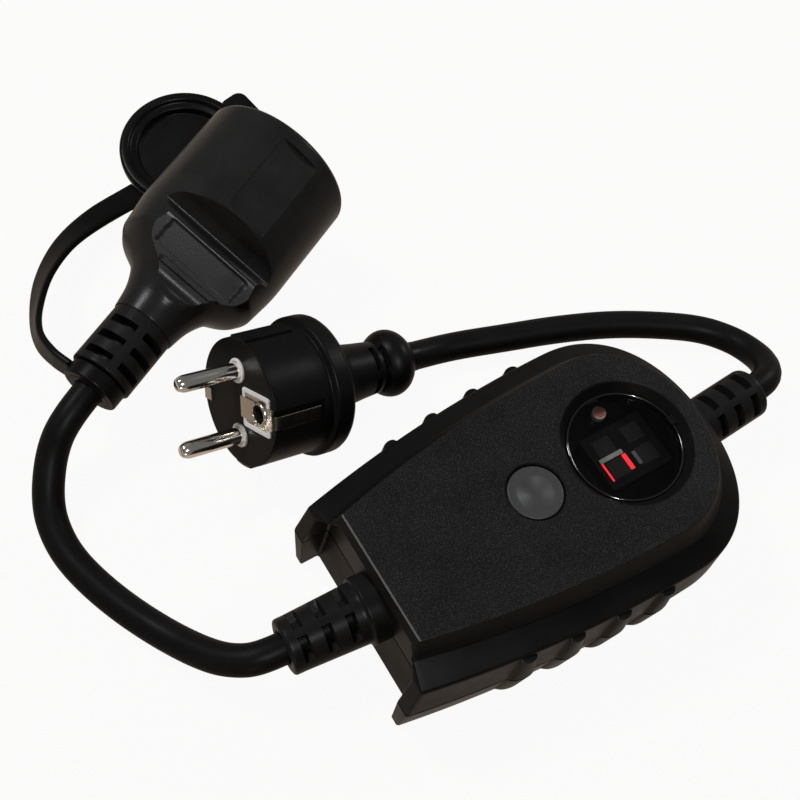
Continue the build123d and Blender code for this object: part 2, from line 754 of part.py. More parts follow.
# Parts on the main board
relay = block(RELAY_AT, RELAY, MAIN_TOP_Z)
relay.label = "relay"
export_step(relay, "parts/relay.step")

film_capacitor = block(CAPACITOR_AT, CAPACITOR, MAIN_TOP_Z)
film_capacitor.label = "film_capacitor"
export_step(film_capacitor, "parts/film_capacitor.step")

with BuildPart() as varistor:
    with BuildSketch(Plane.XZ.offset(-VARISTOR_AT[1] - VARISTOR_THICK / 2)):
        with Locations((VARISTOR_AT[0], MAIN_TOP_Z + VARISTOR_R)):
            Circle(VARISTOR_R)
    extrude(amount=VARISTOR_THICK)
varistor.part.label = "varistor"
export_step(varistor.part, "parts/varistor.step")

with BuildPart() as fuse:
    with BuildSketch(Plane.YZ.offset(FUSE_AT[0] - FUSE_LONG / 2)):
        with Locations((FUSE_AT[1], MAIN_TOP_Z + FUSE_R)):
            Circle(FUSE_R)
    extrude(amount=FUSE_LONG)
fuse.part.label = "fuse"
export_step(fuse.part, "parts/fuse.step")

TERMINAL_FRONT_X = MAIN_BOARD_FRONT_X + TERMINAL_INSET
TERMINAL_END_X = MAIN_BOARD_END_X - TERMINAL_INSET
with BuildPart() as terminal_blocks:
    add(block((TERMINAL_FRONT_X + TERMINAL[0] / 2, 0), TERMINAL, MAIN_TOP_Z))
    add(block((TERMINAL_END_X - TERMINAL[0] / 2, 0), TERMINAL, MAIN_TOP_Z))
terminal_blocks.part.label = "terminal_blocks"
export_step(terminal_blocks.part, "parts/terminal_blocks.step")

# Display and light sensor under the lens
with BuildPart() as led_display:
    add(block((LENS_X + DISPLAY_SHIFT, 0), (DISPLAY_LONG, DISPLAY_WIDE, DISPLAY_TALL), DISPLAY_TOP_Z))
    with BuildSketch(Plane.XY.offset(DISPLAY_TOP_Z + DISPLAY_TALL)):
        with Locations((LENS_X + DISPLAY_SHIFT, 0)):
            with GridLocations(DIGIT_PITCH, 1, 2, 1):
                Rectangle(DIGIT_WIDE, DIGIT_TALL)
                with GridLocations(1, DIGIT_TALL / 2, 1, 2):
                    Rectangle(
                        DIGIT_WIDE - 2 * SEGMENT_WIDE,
                        DIGIT_TALL / 2 - 2 * SEGMENT_WIDE,
                        mode=Mode.SUBTRACT,
                    )
    extrude(amount=-SEGMENT_DEEP, mode=Mode.SUBTRACT)
led_display.part.label = "led_display"
export_step(led_display.part, "parts/led_display.step")

with BuildPart() as photoresistor:
    with BuildSketch(Plane.XY.offset(DISPLAY_TOP_Z + SENSOR_TOP - SENSOR_THICK)):
        with Locations((LENS_X + SENSOR_SHIFT, SENSOR_Y)):
            Circle(SENSOR_R)
    extrude(amount=SENSOR_THICK)
    with BuildSketch(Plane.XY.offset(DISPLAY_TOP_Z)):
        with Locations((LENS_X + SENSOR_SHIFT, SENSOR_Y)):
            with GridLocations(SENSOR_LEG_PITCH, 1, 2, 1):
                Circle(SENSOR_LEG_R)
    extrude(amount=SENSOR_TOP - SENSOR_THICK)
photoresistor.part.label = "photoresistor"
export_step(photoresistor.part, "parts/photoresistor.step")


def gland(frame, collar_r, wall_thick, outward, turn):
    """A moulded strain relief: flange inside, neck through the wall, collar and slotted body outside."""
    wall_face = ACROSS_WALL.offset(frame.origin.X)
    rows = [SLOT_FIRST + SLOT_PITCH * row for row in range(3)]
    cutters = slot_cutters(frame, rows, SLOT_FLOOR_R, 2 * GLAND_FOOT_R, SLOT_WIDE, turn)
    with BuildPart() as relief:
        with BuildSketch(wall_face):
            Circle(collar_r)
        extrude(amount=outward * GLAND_COLLAR_THICK)
        with BuildSketch(profile_plane(frame)):
            with BuildLine():
                Polyline(
                    (0, GLAND_COLLAR_THICK / 2),
                    (GLAND_FOOT_R * collar_r / GLAND_COLLAR_R, GLAND_COLLAR_THICK / 2),
                    (GLAND_TIP_R, GLAND_REACH),
                    (0, GLAND_REACH),
                    close=True,
                )
            make_face()
        revolve(axis=Axis(frame.origin, frame.z_dir))
        add(cutters, mode=Mode.SUBTRACT)
        with BuildSketch(wall_face):
            Circle(GLAND_NECK_R)
        extrude(amount=-outward * wall_thick)
        with BuildSketch(wall_face.offset(-outward * wall_thick)):
            Circle(GLAND_FLANGE_R)
        extrude(amount=-outward * GLAND_FLANGE_THICK)
    return relief.part


# Strain reliefs of the housing
mouth_strain_relief = gland(FRONT_GLAND, GLAND_COLLAR_R, WALL, -1, FRONT_SLOT_TURN)
mouth_strain_relief.label = "mouth_strain_relief"
export_step(mouth_strain_relief, "parts/mouth_strain_relief.step")

end_strain_relief = gland(END_GLAND, END_GLAND_COLLAR_R, WALL - END_GLAND_SINK, 1, END_SLOT_TURN)
end_strain_relief.label = "end_strain_relief"
export_step(end_strain_relief, "parts/end_strain_relief.step")


def cable_end(face_x, inward, terminal_x):
    """The sheathed end inside the housing and its three wires, which run to one terminal block."""
    tip_x = face_x + inward * CABLE_END_PROUD
    with BuildPart() as end:
        with BuildSketch(ACROSS_WALL.offset(face_x)):
            Circle(CABLE_R)
        extrude(amount=inward * CABLE_END_PROUD)
        for step in (-1, 0, 1):
            start = Vector(tip_x, step * WIRE_SPREAD, PARTING_Z)
            finish = Vector(terminal_x, step * WIRE_FAN, WIRE_Z)
            with BuildLine() as run:
                Line(start, finish)
            with BuildSketch(ACROSS_WALL.offset(tip_x)):
                with Locations((step * WIRE_SPREAD, 0)):
                    Circle(WIRE_R)
            sweep(path=run.wires()[0])
    return end.part


# Cable ends inside the housing
with BuildPart() as cable_ends:
    add(cable_end(CAVITY_X + GLAND_FLANGE_THICK, 1, TERMINAL_FRONT_X))
    add(cable_end(CAVITY_END_X - GLAND_FLANGE_THICK, -1, TERMINAL_END_X))
cable_ends.part.label = "cable_ends"
export_step(cable_ends.part, "parts/cable_ends.step")

# Plug
plug_side = profile_plane(PLUG)
plug_turn = Axis(PLUG.origin, PLUG.z_dir)
flange_end = PLUG_BODY_LONG + PLUG_FLANGE_LONG
ball_neck = PLUG_BALL - math.sqrt(PLUG_BALL_R ** 2 - PLUG_NECK_R ** 2)
ball_end_r = math.sqrt(PLUG_BALL_R ** 2 - (PLUG_END - PLUG_BALL) ** 2)
EARTH_FRAME = (EARTH_PLATE[0] + 2 * EARTH_FRAME_WALL, EARTH_PLATE[1] + 2 * EARTH_FRAME_WALL, EARTH_PLATE[2])
plug_rows = [-PLUG_SLOT_FIRST, -PLUG_SLOT_FIRST - PLUG_SLOT_PITCH]
plug_slots = slot_cutters(PLUG, plug_rows, PLUG_SLOT_FLOOR_R, 2 * PLUG_BALL_R, PLUG_SLOT_WIDE, PLUG_SLOT_TURN)
EARTH_AT = (0, -EARTH_OFFSET)
EARTH_HOLE_AT = (0, -EARTH_HOLE_OFFSET)
PINS = [(PIN_PITCH / 2, 0), (-PIN_PITCH / 2, 0)]


def side_clips(wide, long, inner_r, outer_r, start):
    """Two straps on opposite sides of the plug, from one radius to another."""
    with BuildPart() as clips:
        with BuildSketch(PLUG.offset(-start)):
            for side in (1, -1):
                with Locations((0, side * (inner_r + outer_r) / 2)):
                    Rectangle(wide, outer_r - inner_r)
        extrude(amount=-long)
    return clips.part


clip_inner_r = PLUG_FACE_R + SIDE_CLIP_PROUD - SIDE_CLIP[2]
clip_outer_r = PLUG_FACE_R + SIDE_CLIP_PROUD

with BuildPart() as plug_body:
    with BuildSketch(plug_side):
        with BuildLine():
            Polyline(
                (0, 0),
                (PLUG_FACE_R, 0),
                (PLUG_FACE_R, -PLUG_BODY_LONG),
                (PLUG_FLANGE_R, -PLUG_BODY_LONG - 1.5),
                (PLUG_FLANGE_R, -flange_end + 1.5),
                (PLUG_FLANGE_R - 1.5, -flange_end),
                (PLUG_NECK_FOOT_R, -PLUG_NECK_FOOT),
                (PLUG_NECK_R, -PLUG_NECK),
                (PLUG_NECK_R, -ball_neck),
            )
            ThreePointArc(
                (PLUG_NECK_R, -ball_neck),
                (PLUG_BALL_R, -PLUG_BALL),
                (ball_end_r, -PLUG_END),
            )
            Polyline((ball_end_r, -PLUG_END), (0, -PLUG_END), (0, 0))
        make_face()
    revolve(axis=plug_turn)
    add(plug_slots, mode=Mode.SUBTRACT)
    with BuildSketch(PLUG):
        with Locations(PINS):
            Circle(PIN_COLLAR_R)
    extrude(amount=-PIN_COLLAR_DEEP, mode=Mode.SUBTRACT)
    with BuildSketch(PLUG):
        with Locations(PINS):
            Circle(PIN_ROOT_R)
    extrude(amount=-PIN_ROOT, mode=Mode.SUBTRACT)
    with BuildSketch(PLUG):
        with Locations(EARTH_AT):
            Rectangle(EARTH_FRAME[0], EARTH_FRAME[1])
    extrude(amount=-EARTH_PLATE[2], mode=Mode.SUBTRACT)
    with BuildSketch(PLUG):
        with Locations(EARTH_HOLE_AT):
            Circle(EARTH_HOLE_R)
    extrude(amount=-EARTH_HOLE_DEEP, mode=Mode.SUBTRACT)
    add(side_clips(SIDE_CLIP[0], SIDE_CLIP[1], clip_inner_r, PLUG_FLANGE_R, SIDE_CLIP_START), mode=Mode.SUBTRACT)
plug_body.part.label = "plug_body"
export_step(plug_body.part, "parts/plug_body.step")

with BuildPart() as plug_pins:
    with BuildSketch(PLUG.offset(PIN_STEP)):
        with Locations(PINS):
            Circle(PIN_R)
    extrude(amount=PIN_LONG - PIN_STEP)
    fillet(plug_pins.faces().group_by(Axis(PLUG.origin, PLUG.z_dir))[-1].edges(), radius=PIN_TIP_ROUND)
    with BuildSketch(PLUG.offset(-PIN_ROOT)):
        with Locations(PINS):
            Circle(PIN_ROOT_R)
    extrude(amount=PIN_ROOT + PIN_STEP)
plug_pins.part.label = "plug_pins"
export_step(plug_pins.part, "parts/plug_pins.step")

with BuildPart() as pin_collars:
    with BuildSketch(PLUG.offset(-PIN_COLLAR_DEEP)):
        with Locations(PINS):
            Circle(PIN_COLLAR_R)
            Circle(PIN_ROOT_R, mode=Mode.SUBTRACT)
    extrude(amount=PIN_COLLAR_DEEP + PIN_COLLAR_PROUD)
pin_collars.part.label = "pin_collars"
export_step(pin_collars.part, "parts/pin_collars.step")

with BuildPart() as earth_plate:
    with BuildSketch(PLUG):
        with Locations(EARTH_AT):
            Rectangle(EARTH_PLATE[0], EARTH_PLATE[1])
        with Locations(EARTH_HOLE_AT):
            Circle(EARTH_HOLE_R, mode=Mode.SUBTRACT)
    extrude(amount=-EARTH_PLATE[2])
earth_plate.part.label = "earth_plate"
export_step(earth_plate.part, "parts/earth_plate.step")

with BuildPart() as earth_plate_frame:
    with BuildSketch(PLUG):
        with Locations(EARTH_AT):
            Rectangle(EARTH_FRAME[0], EARTH_FRAME[1])
            Rectangle(EARTH_PLATE[0], EARTH_PLATE[1], mode=Mode.SUBTRACT)
    extrude(amount=-EARTH_PLATE[2])
earth_plate_frame.part.label = "earth_plate_frame"
export_step(earth_plate_frame.part, "parts/earth_plate_frame.step")

earth_clips = side_clips(SIDE_CLIP[0], SIDE_CLIP[1], clip_inner_r, clip_outer_r, SIDE_CLIP_START)
earth_clips.label = "earth_clips"
export_step(earth_clips, "parts/earth_clips.step")

# Coupler
coupler_side = profile_plane(COUPLER)
coupler_turn = Axis(COUPLER.origin, COUPLER.z_dir)
coupler_height = Plane(origin=COUPLER.origin, x_dir=COUPLER.y_dir, z_dir=COUPLER.x_dir)
INSERT_END = WELL_DEEP + INSERT_THICK
SPRINGS_AT = [(0, side * (EARTH_SPRING_IN + EARTH_SPRING[2] / 2)) for side in (1, -1)]

with BuildPart() as coupler_body:
    with BuildSketch(coupler_side):
        with BuildLine():
            Polyline((0, 0), (HEAD_R - HEAD_EDGE, 0), (HEAD_R, -HEAD_EDGE), (HEAD_R, -HEAD_LONG))
            ThreePointArc((HEAD_R, -HEAD_LONG), (SHOULDER_R, -SHOULDER), (SHOULDER_END_R, -SHOULDER_END))
            ThreePointArc(
                (SHOULDER_END_R, -SHOULDER_END),
                (THROAT_R, -THROAT),
                (COUPLER_END_R, -COUPLER_END),
            )
            Polyline((COUPLER_END_R, -COUPLER_END), (0, -COUPLER_END), (0, 0))
        make_face()
    revolve(axis=coupler_turn)
    with BuildSketch(coupler_height):
        for side in (1, -1):
            with BuildLine():
                Polyline(
                    (0, CUT_OVER),
                    (side * (HEAD_R + CUT_OVER), CUT_OVER),
                    (side * (HEAD_R + CUT_OVER), -GRIP_START),
                    (side * (HEAD_R - CUT_OVER), -GRIP_START),
                )
                TangentArc(
                    (side * GRIP_FLOOR_H, -GRIP_FLOOR),
                    (side * (HEAD_R - CUT_OVER), -GRIP_START),
                    tangent=(0, 1),
                )
                Polyline(
                    (side * GRIP_FLOOR_H, -GRIP_FLOOR),
                    (side * GRIP_RIDGE_H, -GRIP_RIDGE),
                    (side * GRIP_SHELF_H, -GRIP_SHELF),
                    (side * COUPLER_END_R, -COUPLER_END),
                    (side * COUPLER_END_R, -COUPLER_END - CUT_OVER),
                    (0, -COUPLER_END - CUT_OVER),
                    (0, CUT_OVER),
                )
            make_face()
    extrude(amount=2 * HEAD_R, both=True, mode=Mode.INTERSECT)
    with BuildSketch(COUPLER):
        Circle(WELL_R)
    extrude(amount=-WELL_DEEP, mode=Mode.SUBTRACT)
    with BuildSketch(COUPLER.offset(-WELL_DEEP)):
        Circle(INSERT_R)
    extrude(amount=-INSERT_THICK, mode=Mode.SUBTRACT)
    with BuildSketch(COUPLER.offset(-WELL_DEEP)):
        with Locations(SPRINGS_AT):
            Rectangle(EARTH_SPRING[0] + SPRING_SLOT_PLAY, EARTH_SPRING[2] + SPRING_SLOT_PLAY)
    extrude(amount=EARTH_SPRING[1], mode=Mode.SUBTRACT)
    with BuildSketch(COUPLER):
        Circle(CAP_SEAT_R)
    extrude(amount=-CAP_SEAT_DEEP, mode=Mode.SUBTRACT)
coupler_body.part.label = "coupler_body"
export_step(coupler_body.part, "parts/coupler_body.step")

with BuildPart() as socket_insert:
    with BuildSketch(COUPLER.offset(-INSERT_END)):
        Circle(INSERT_R)
    extrude(amount=INSERT_THICK)
    with BuildSketch(COUPLER.offset(-WELL_DEEP)):
        with Locations(PINS):
            Circle(CONTACT_HOLE_R)
    extrude(amount=-INSERT_THICK, mode=Mode.SUBTRACT)
    with BuildSketch(COUPLER.offset(-WELL_DEEP - SLEEVE_SINK)):
        with Locations(PINS):
            Circle(SLEEVE_R)
    extrude(amount=-INSERT_THICK, mode=Mode.SUBTRACT)
socket_insert.part.label = "socket_insert"
export_step(socket_insert.part, "parts/socket_insert.step")

with BuildPart() as contact_sleeves:
    with BuildSketch(COUPLER.offset(-WELL_DEEP - SLEEVE_SINK)):
        with Locations(PINS):
            Circle(SLEEVE_R)
            Circle(CONTACT_HOLE_R, mode=Mode.SUBTRACT)
    extrude(amount=-SLEEVE_LONG)
contact_sleeves.part.label = "contact_sleeves"
export_step(contact_sleeves.part, "parts/contact_sleeves.step")

with BuildPart() as earth_springs:
    with BuildSketch(COUPLER.offset(-WELL_DEEP)):
        with Locations(SPRINGS_AT):
            Rectangle(EARTH_SPRING[0], EARTH_SPRING[2])
    extrude(amount=EARTH_SPRING[1])
earth_springs.part.label = "earth_springs"
export_step(earth_springs.part, "parts/earth_springs.step")

relief_rows = [-RELIEF_SLOT_FIRST - RELIEF_SLOT_PITCH * row for row in range(3)]
relief_slots = slot_cutters(COUPLER, relief_rows, SLOT_FLOOR_R, 2 * RELIEF_R, SLOT_WIDE, RELIEF_SLOT_TURN)
with BuildPart() as coupler_strain_relief:
    with BuildSketch(coupler_side):
        with BuildLine():
            Polyline(
                (0, -COUPLER_END),
                (RELIEF_R, -COUPLER_END),
                (RELIEF_R, -RELIEF_END),
                (NOSE_R, -RELIEF_END),
                (NOSE_R, -NOSE_END),
                (0, -NOSE_END),
                close=True,
            )
        make_face()
    revolve(axis=coupler_turn)
    add(relief_slots, mode=Mode.SUBTRACT)
coupler_strain_relief.part.label = "coupler_strain_relief"
export_step(coupler_strain_relief.part, "parts/coupler_strain_relief.step")

# Sealing cap, lying open side up beside the coupler
cap_normal = unit(CAP_NORMAL)
RING_MID = (RELIEF_END + NOSE_END) / 2
ring_centre = COUPLER.origin - COUPLER.z_dir * RING_MID
strap_heading = square_to(Vector(-0.93, -0.36, 0), cap_normal)
CAP = Plane(origin=CAP_RIM, x_dir=strap_heading, z_dir=cap_normal)

with BuildPart() as sealing_cap:
    with BuildSketch(profile_plane(CAP)):
        with BuildLine():
            Polyline(
                (0, -CAP_TALL),
                (CAP_R - CAP_EDGE, -CAP_TALL),
                (CAP_R, -CAP_TALL + CAP_EDGE),
                (CAP_R, 0),
                (CAP_R - CAP_LIP, 0),
                (CAP_INNER_R, -CAP_TALL + CAP_FLOOR),
                (0, -CAP_TALL + CAP_FLOOR),
                close=True,
            )
        make_face()
    revolve(axis=Axis(CAP.origin, CAP.z_dir))
    with BuildSketch(CAP.offset(-TAB_THICK)):
        with Locations(Rotation(0, 0, 180 - TAB_TURN)):
            with Locations(((CAP_R - CAP_LIP + TAB_REACH) / 2, 0)):
                RectangleRounded(TAB_REACH - CAP_R + CAP_LIP, TAB_WIDE, CAP_LIP)
    extrude(amount=TAB_THICK - CAP_EDGE)
sealing_cap.part.label = "sealing_cap"
export_step(sealing_cap.part, "parts/sealing_cap.step")

# Strap from the ring on the coupler's nose to the cap: centre points, and how far the band has
# turned from standing on edge at the ring to lying flat at the cap
STRAP_ROUTE = [
    ((-92.2, 106.6, 19.2), 4),
    ((-92.9, 115.5, 16.6), 12),
    ((-89.6, 126.2, 13.2), 26),
    ((-81.5, 137.6, 10.4), 44),
    ((-70.5, 147.0, 8.2), 62),
    ((-57.5, 153.7, 5.9), 78),
]
ring_side = square_to(Vector(-0.4515, 0.8897, 0), COUPLER.z_dir)
strap_start = ring_centre + ring_side * (RING_R - STRAP_THICK / 2)
strap_root = CAP.origin + CAP.x_dir * (CAP_R + STRAP_GAP) - CAP.z_dir * (CAP_TALL / 2)
strap_points = [strap_start] + [Vector(*point) for point, turned in STRAP_ROUTE] + [strap_root]
strap_turns = [0] + [turned for point, turned in STRAP_ROUTE] + [90]


def band_section(index):
    centre = strap_points[index]
    before = strap_points[max(index - 1, 0)]
    after = strap_points[min(index + 1, len(strap_points) - 1)]
    along = (after - before).normalized()
    if index == 0:
        along = ring_side
    if index == len(strap_points) - 1:
        along = -CAP.x_dir
    upright = square_to(Vector(0, 0, 1), along)
    width_dir = upright.rotate(Axis((0, 0, 0), along), strap_turns[index])
    thick = STRAP_TIP_THICK if index == len(strap_points) - 1 else STRAP_THICK
    with BuildSketch(Plane(origin=centre, x_dir=width_dir, z_dir=along)) as section:
        Rectangle(STRAP_WIDE, thick)
    return section.sketch


band_sections = [band_section(index) for index in range(len(strap_points))]
with BuildPart() as cap_strap:
    loft(sections=band_sections, ruled=True)
    with BuildSketch(COUPLER.offset(-NOSE_END)):
        Circle(RING_R)
    extrude(amount=NOSE_END - RELIEF_END - RING_PLAY)
    with BuildSketch(COUPLER.offset(-NOSE_END)):
        Circle(NOSE_R + NOSE_FIT)
    extrude(amount=NOSE_END - RELIEF_END, mode=Mode.SUBTRACT)
cap_strap.part.label = "cap_strap"
export_step(cap_strap.part, "parts/cap_strap.step")

# Leads
GLAND_TIP = FRONT_GLAND.origin + FRONT_GLAND.z_dir * GLAND_REACH
END_GLAND_TIP = END_GLAND.origin + END_GLAND.z_dir * GLAND_REACH
PLUG_TAIL = PLUG.origin - PLUG.z_dir * PLUG_END
COUPLER_TAIL = COUPLER.origin - COUPLER.z_dir * NOSE_END
PLUG_FIRST_RUN = 5.4
COUPLER_FIRST_RUN = 5.6
PLUG_LAST_RUN = 8.2
COUPLER_LAST_RUN = 10.0

plug_lead_points = [
    END_GLAND_TIP,
    END_GLAND_TIP + END_GLAND.z_dir * PLUG_FIRST_RUN,
    (94.2, 4.0, 15.2),
    (98.5, 8.9, 11.6),
    (100.0, 15.4, 7.9),
    (98.8, 22.3, 5.5),
    (93.5, 29.8, 4.6),
    (84.0, 36.6, 4.5),
    (68.0, 45.6, 4.5),
    (50.0, 52.6, 4.5),
    (33.0, 57.8, 4.5),
    (20.5, 61.8, 4.5),
    PLUG_TAIL - PLUG.z_dir * PLUG_LAST_RUN,
    PLUG_TAIL,
]
coupler_lead_points = [
    GLAND_TIP,
    GLAND_TIP + FRONT_GLAND.z_dir * COUPLER_FIRST_RUN,
    (-87.4, 4.6, 15.4),
    (-93.0, 10.4, 11.8),
    (-99.8, 22.9, 5.8),
    (-106.8, 37.2, 4.6),
    (-111.6, 51.0, 4.6),
    (-113.0, 61.5, 4.9),
    (-111.4, 71.8, 7.0),
    (-104.6, 82.6, 12.5),
    COUPLER_TAIL - COUPLER.z_dir * COUPLER_LAST_RUN,
    COUPLER_TAIL,
]
plug_lead_points = [tuple(Vector(*point) if isinstance(point, tuple) else point) for point in plug_lead_points]
coupler_lead_points = [
    tuple(Vector(*point) if isinstance(point, tuple) else point) for point in coupler_lead_points
]
print("plug lead points", [tuple(round(value, 2) for value in point) for point in plug_lead_points])
print("coupler lead points", [tuple(round(value, 2) for value in point) for point in coupler_lead_points])

plug_lead = lead_tube(plug_lead_points, "plug lead")
plug_lead.label = "plug_lead"
export_step(plug_lead, "parts/plug_lead.step")

coupler_lead = lead_tube(coupler_lead_points, "coupler lead")
coupler_lead.label = "coupler_lead"
export_step(coupler_lead, "parts/coupler_lead.step")
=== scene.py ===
"""Looks of the dusk sensor plug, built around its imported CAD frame. Lengths inside are in millimetres."""

import json
from math import cos, radians, sin, sqrt, tan

import bmesh
import bpy
import numpy as np
from mathutils import Matrix, Vector
from mathutils.geometry import delaunay_2d_cdt


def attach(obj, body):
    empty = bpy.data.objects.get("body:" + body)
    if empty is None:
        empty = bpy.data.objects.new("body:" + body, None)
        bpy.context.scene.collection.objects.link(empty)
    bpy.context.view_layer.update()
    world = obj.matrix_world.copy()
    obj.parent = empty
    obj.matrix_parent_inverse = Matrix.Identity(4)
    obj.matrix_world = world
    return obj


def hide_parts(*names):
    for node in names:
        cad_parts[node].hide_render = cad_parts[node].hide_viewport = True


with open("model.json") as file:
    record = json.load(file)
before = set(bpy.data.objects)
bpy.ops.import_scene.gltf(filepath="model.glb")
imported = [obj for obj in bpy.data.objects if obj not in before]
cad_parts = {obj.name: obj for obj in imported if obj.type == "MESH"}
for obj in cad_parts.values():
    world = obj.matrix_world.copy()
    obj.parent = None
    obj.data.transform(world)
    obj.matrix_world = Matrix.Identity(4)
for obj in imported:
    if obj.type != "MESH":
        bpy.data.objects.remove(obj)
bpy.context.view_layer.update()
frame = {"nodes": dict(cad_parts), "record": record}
NODES = frame["nodes"]
MM = 0.001


# Camera and studio

FOCAL_PX = 1194.85
PHOTO_PX = 800
SENSOR_MM = 36.0
CAMERA_AT = (-127.1, -71.35, 319.71)
LOOK_TURN, LOOK_DOWN, LOOK_ROLL = map(radians, (46.27, 61.12, -13.81))
SKY_LEVEL = 0.14
WARM_LIGHT = (1.0, 0.82, 0.66)
COOL_LIGHT = (0.97, 0.98, 1.0)
LAMPS_AIM = Vector((-0.01, 0.06, 0.0))
WHITE = (1, 1, 1, 1)
FLOOR_REACH = 3.0
FLOOR_WHITE = 0.94
FLOOR_LIT = (0.55, 0.47, 0.39, 1)
FLOOR_MIRRORED = (0.5, 0.415, 0.345, 1)


def placed(name, data):
    """A new object, linked into the scene."""
    made = bpy.data.objects.new(name, data)
    bpy.context.scene.collection.objects.link(made)
    return made


def camera():
    """The photograph's camera: a turn about Z, a look down, and a roll about the line of sight."""
    flat = cos(LOOK_DOWN)
    ahead = Vector((cos(LOOK_TURN) * flat, sin(LOOK_TURN) * flat, -sin(LOOK_DOWN)))
    right = ahead.cross(Vector((0, 0, 1))).normalized()
    below = ahead.cross(right)
    right_rolled = right * cos(LOOK_ROLL) + below * sin(LOOK_ROLL)
    below_rolled = below * cos(LOOK_ROLL) - right * sin(LOOK_ROLL)
    data = bpy.data.cameras.new("camera")
    data.sensor_width = SENSOR_MM
    data.lens = FOCAL_PX / PHOTO_PX * SENSOR_MM
    data.clip_start = 0.01
    data.clip_end = 20
    seer = placed("camera", data)
    turned = Matrix((right_rolled, -below_rolled, -ahead)).transposed()
    seer.matrix_world = Matrix.Translation(Vector(CAMERA_AT) * MM) @ turned.to_4x4()
    bpy.context.scene.camera = seer


def lamp(name, place, size, watts, color):
    """A round lamp at a place in metres, turned toward the object's middle."""
    data = bpy.data.lights.new(name, "AREA")
    data.energy = watts
    data.color = color
    data.shape = "DISK"
    data.size = size
    light = placed(name, data)
    turned = (LAMPS_AIM - Vector(place)).to_track_quat("-Z", "Y").to_matrix()
    light.matrix_world = Matrix.Translation(Vector(place)) @ turned.to_4x4()
    return light


def studio():
    """A dim sky and four lamps: high behind, low in front, at the right, and one for highlights only."""
    world = bpy.data.worlds.new("studio")
    bpy.context.scene.world = world
    world.use_nodes = True
    feed(world.node_tree, world.node_tree.nodes["Background"], {"Color": WHITE, "Strength": SKY_LEVEL})
    lamp("key", (-0.3, 0.56, 0.8), 0.2, 5.6, COOL_LIGHT)
    lamp("fill", (-0.6, -0.85, 0.1), 0.3, 1.5, WARM_LIGHT)
    lamp("back", (0.8, 0.1, 0.5), 0.2, 3.0, COOL_LIGHT)
    spark = lamp("spark", (-0.16, -0.42, 0.85), 0.1, 6.5, COOL_LIGHT)
    spark.visible_diffuse = False


def floor_material():
    """White to the camera, a warm pale tone in reflections, and dimmer where it lights the object."""
    material = bpy.data.materials.new("floor")
    material.use_nodes = True
    tree = material.node_tree
    tree.nodes.clear()
    rays = node(tree, "ShaderNodeLightPath").outputs
    seen = rays["Is Camera Ray"]
    for kind in ("Is Glossy Ray", "Is Transmission Ray"):
        seen = math_node(tree, "MAXIMUM", seen, rays[kind])
    seen = math_node(tree, "MULTIPLY", seen, FLOOR_WHITE)
    tone = blend(tree, rays["Is Camera Ray"], FLOOR_MIRRORED, WHITE)
    diffuse = node(tree, "ShaderNodeBsdfDiffuse", {"Color": FLOOR_LIT})
    glow = node(tree, "ShaderNodeEmission", {"Color": tone, "Strength": 1.0})
    both = node(tree, "ShaderNodeMixShader", {0: seen, 1: diffuse.outputs[0], 2: glow.outputs[0]})
    node(tree, "ShaderNodeOutputMaterial", {"Surface": both.outputs[0]})
    return material


def floor():
    mesh = bpy.data.meshes.new("floor")
    corners = [(x * FLOOR_REACH, y * FLOOR_REACH, 0) for x, y in ((-1, -1), (1, -1), (1, 1), (-1, 1))]
    mesh.from_pydata(corners, [], [(0, 1, 2, 3)])
    mesh.materials.append(floor_material())
    placed("floor", mesh)


# Shader nodes

def feed(tree, made, given):
    """Fills a node's inputs, each with a value or with another node's output."""
    for socket, value in given.items():
        if isinstance(value, bpy.types.NodeSocket):
            tree.links.new(value, made.inputs[socket])
        else:
            made.inputs[socket].default_value = value


def node(tree, kind, given=None, **settings):
    made = tree.nodes.new(kind)
    for key, value in settings.items():
        setattr(made, key, value)
    feed(tree, made, given or {})
    return made


def math_node(tree, operation, first, second):
    return node(tree, "ShaderNodeMath", {0: first, 1: second}, operation=operation).outputs[0]


def blend(tree, factor, first, second, kind="MIX"):
    """A mix of two colours, whose inputs are the node's seventh and eighth."""
    given = {0: factor, 6: first, 7: second}
    return node(tree, "ShaderNodeMix", given, data_type="RGBA", blend_type=kind).outputs[2]


def noise(tree, scale, detail=2.0):
    place = node(tree, "ShaderNodeTexCoord").outputs["Object"]
    given = {"Vector": place, "Scale": scale, "Detail": detail}
    return node(tree, "ShaderNodeTexNoise", given).outputs["Fac"]


def ranged(tree, value, given):
    return node(tree, "ShaderNodeMapRange", {"Value": value, **given}).outputs["Result"]


def principled(name, given):
    """A new material, and its tree and shader with some inputs filled."""
    material = bpy.data.materials.new(name)
    material.use_nodes = True
    shader = material.node_tree.nodes["Principled BSDF"]
    feed(material.node_tree, shader, given)
    return material, material.node_tree, shader


# Finishes

GRAIN_SOCKETS = {
    "INPUT": ("Color", "Fleck", "Scale", "Flecks", "Variation", "Roughness"),
    "OUTPUT": ("Color", "Roughness", "Height"),
}
CLOUD_SCALE = 90.0
CLOUD_DETAIL = 3.0
FLECK_RANGE = {"From Min": 0.56, "From Max": 0.72}
ROUGHNESS_SWING = 0.25


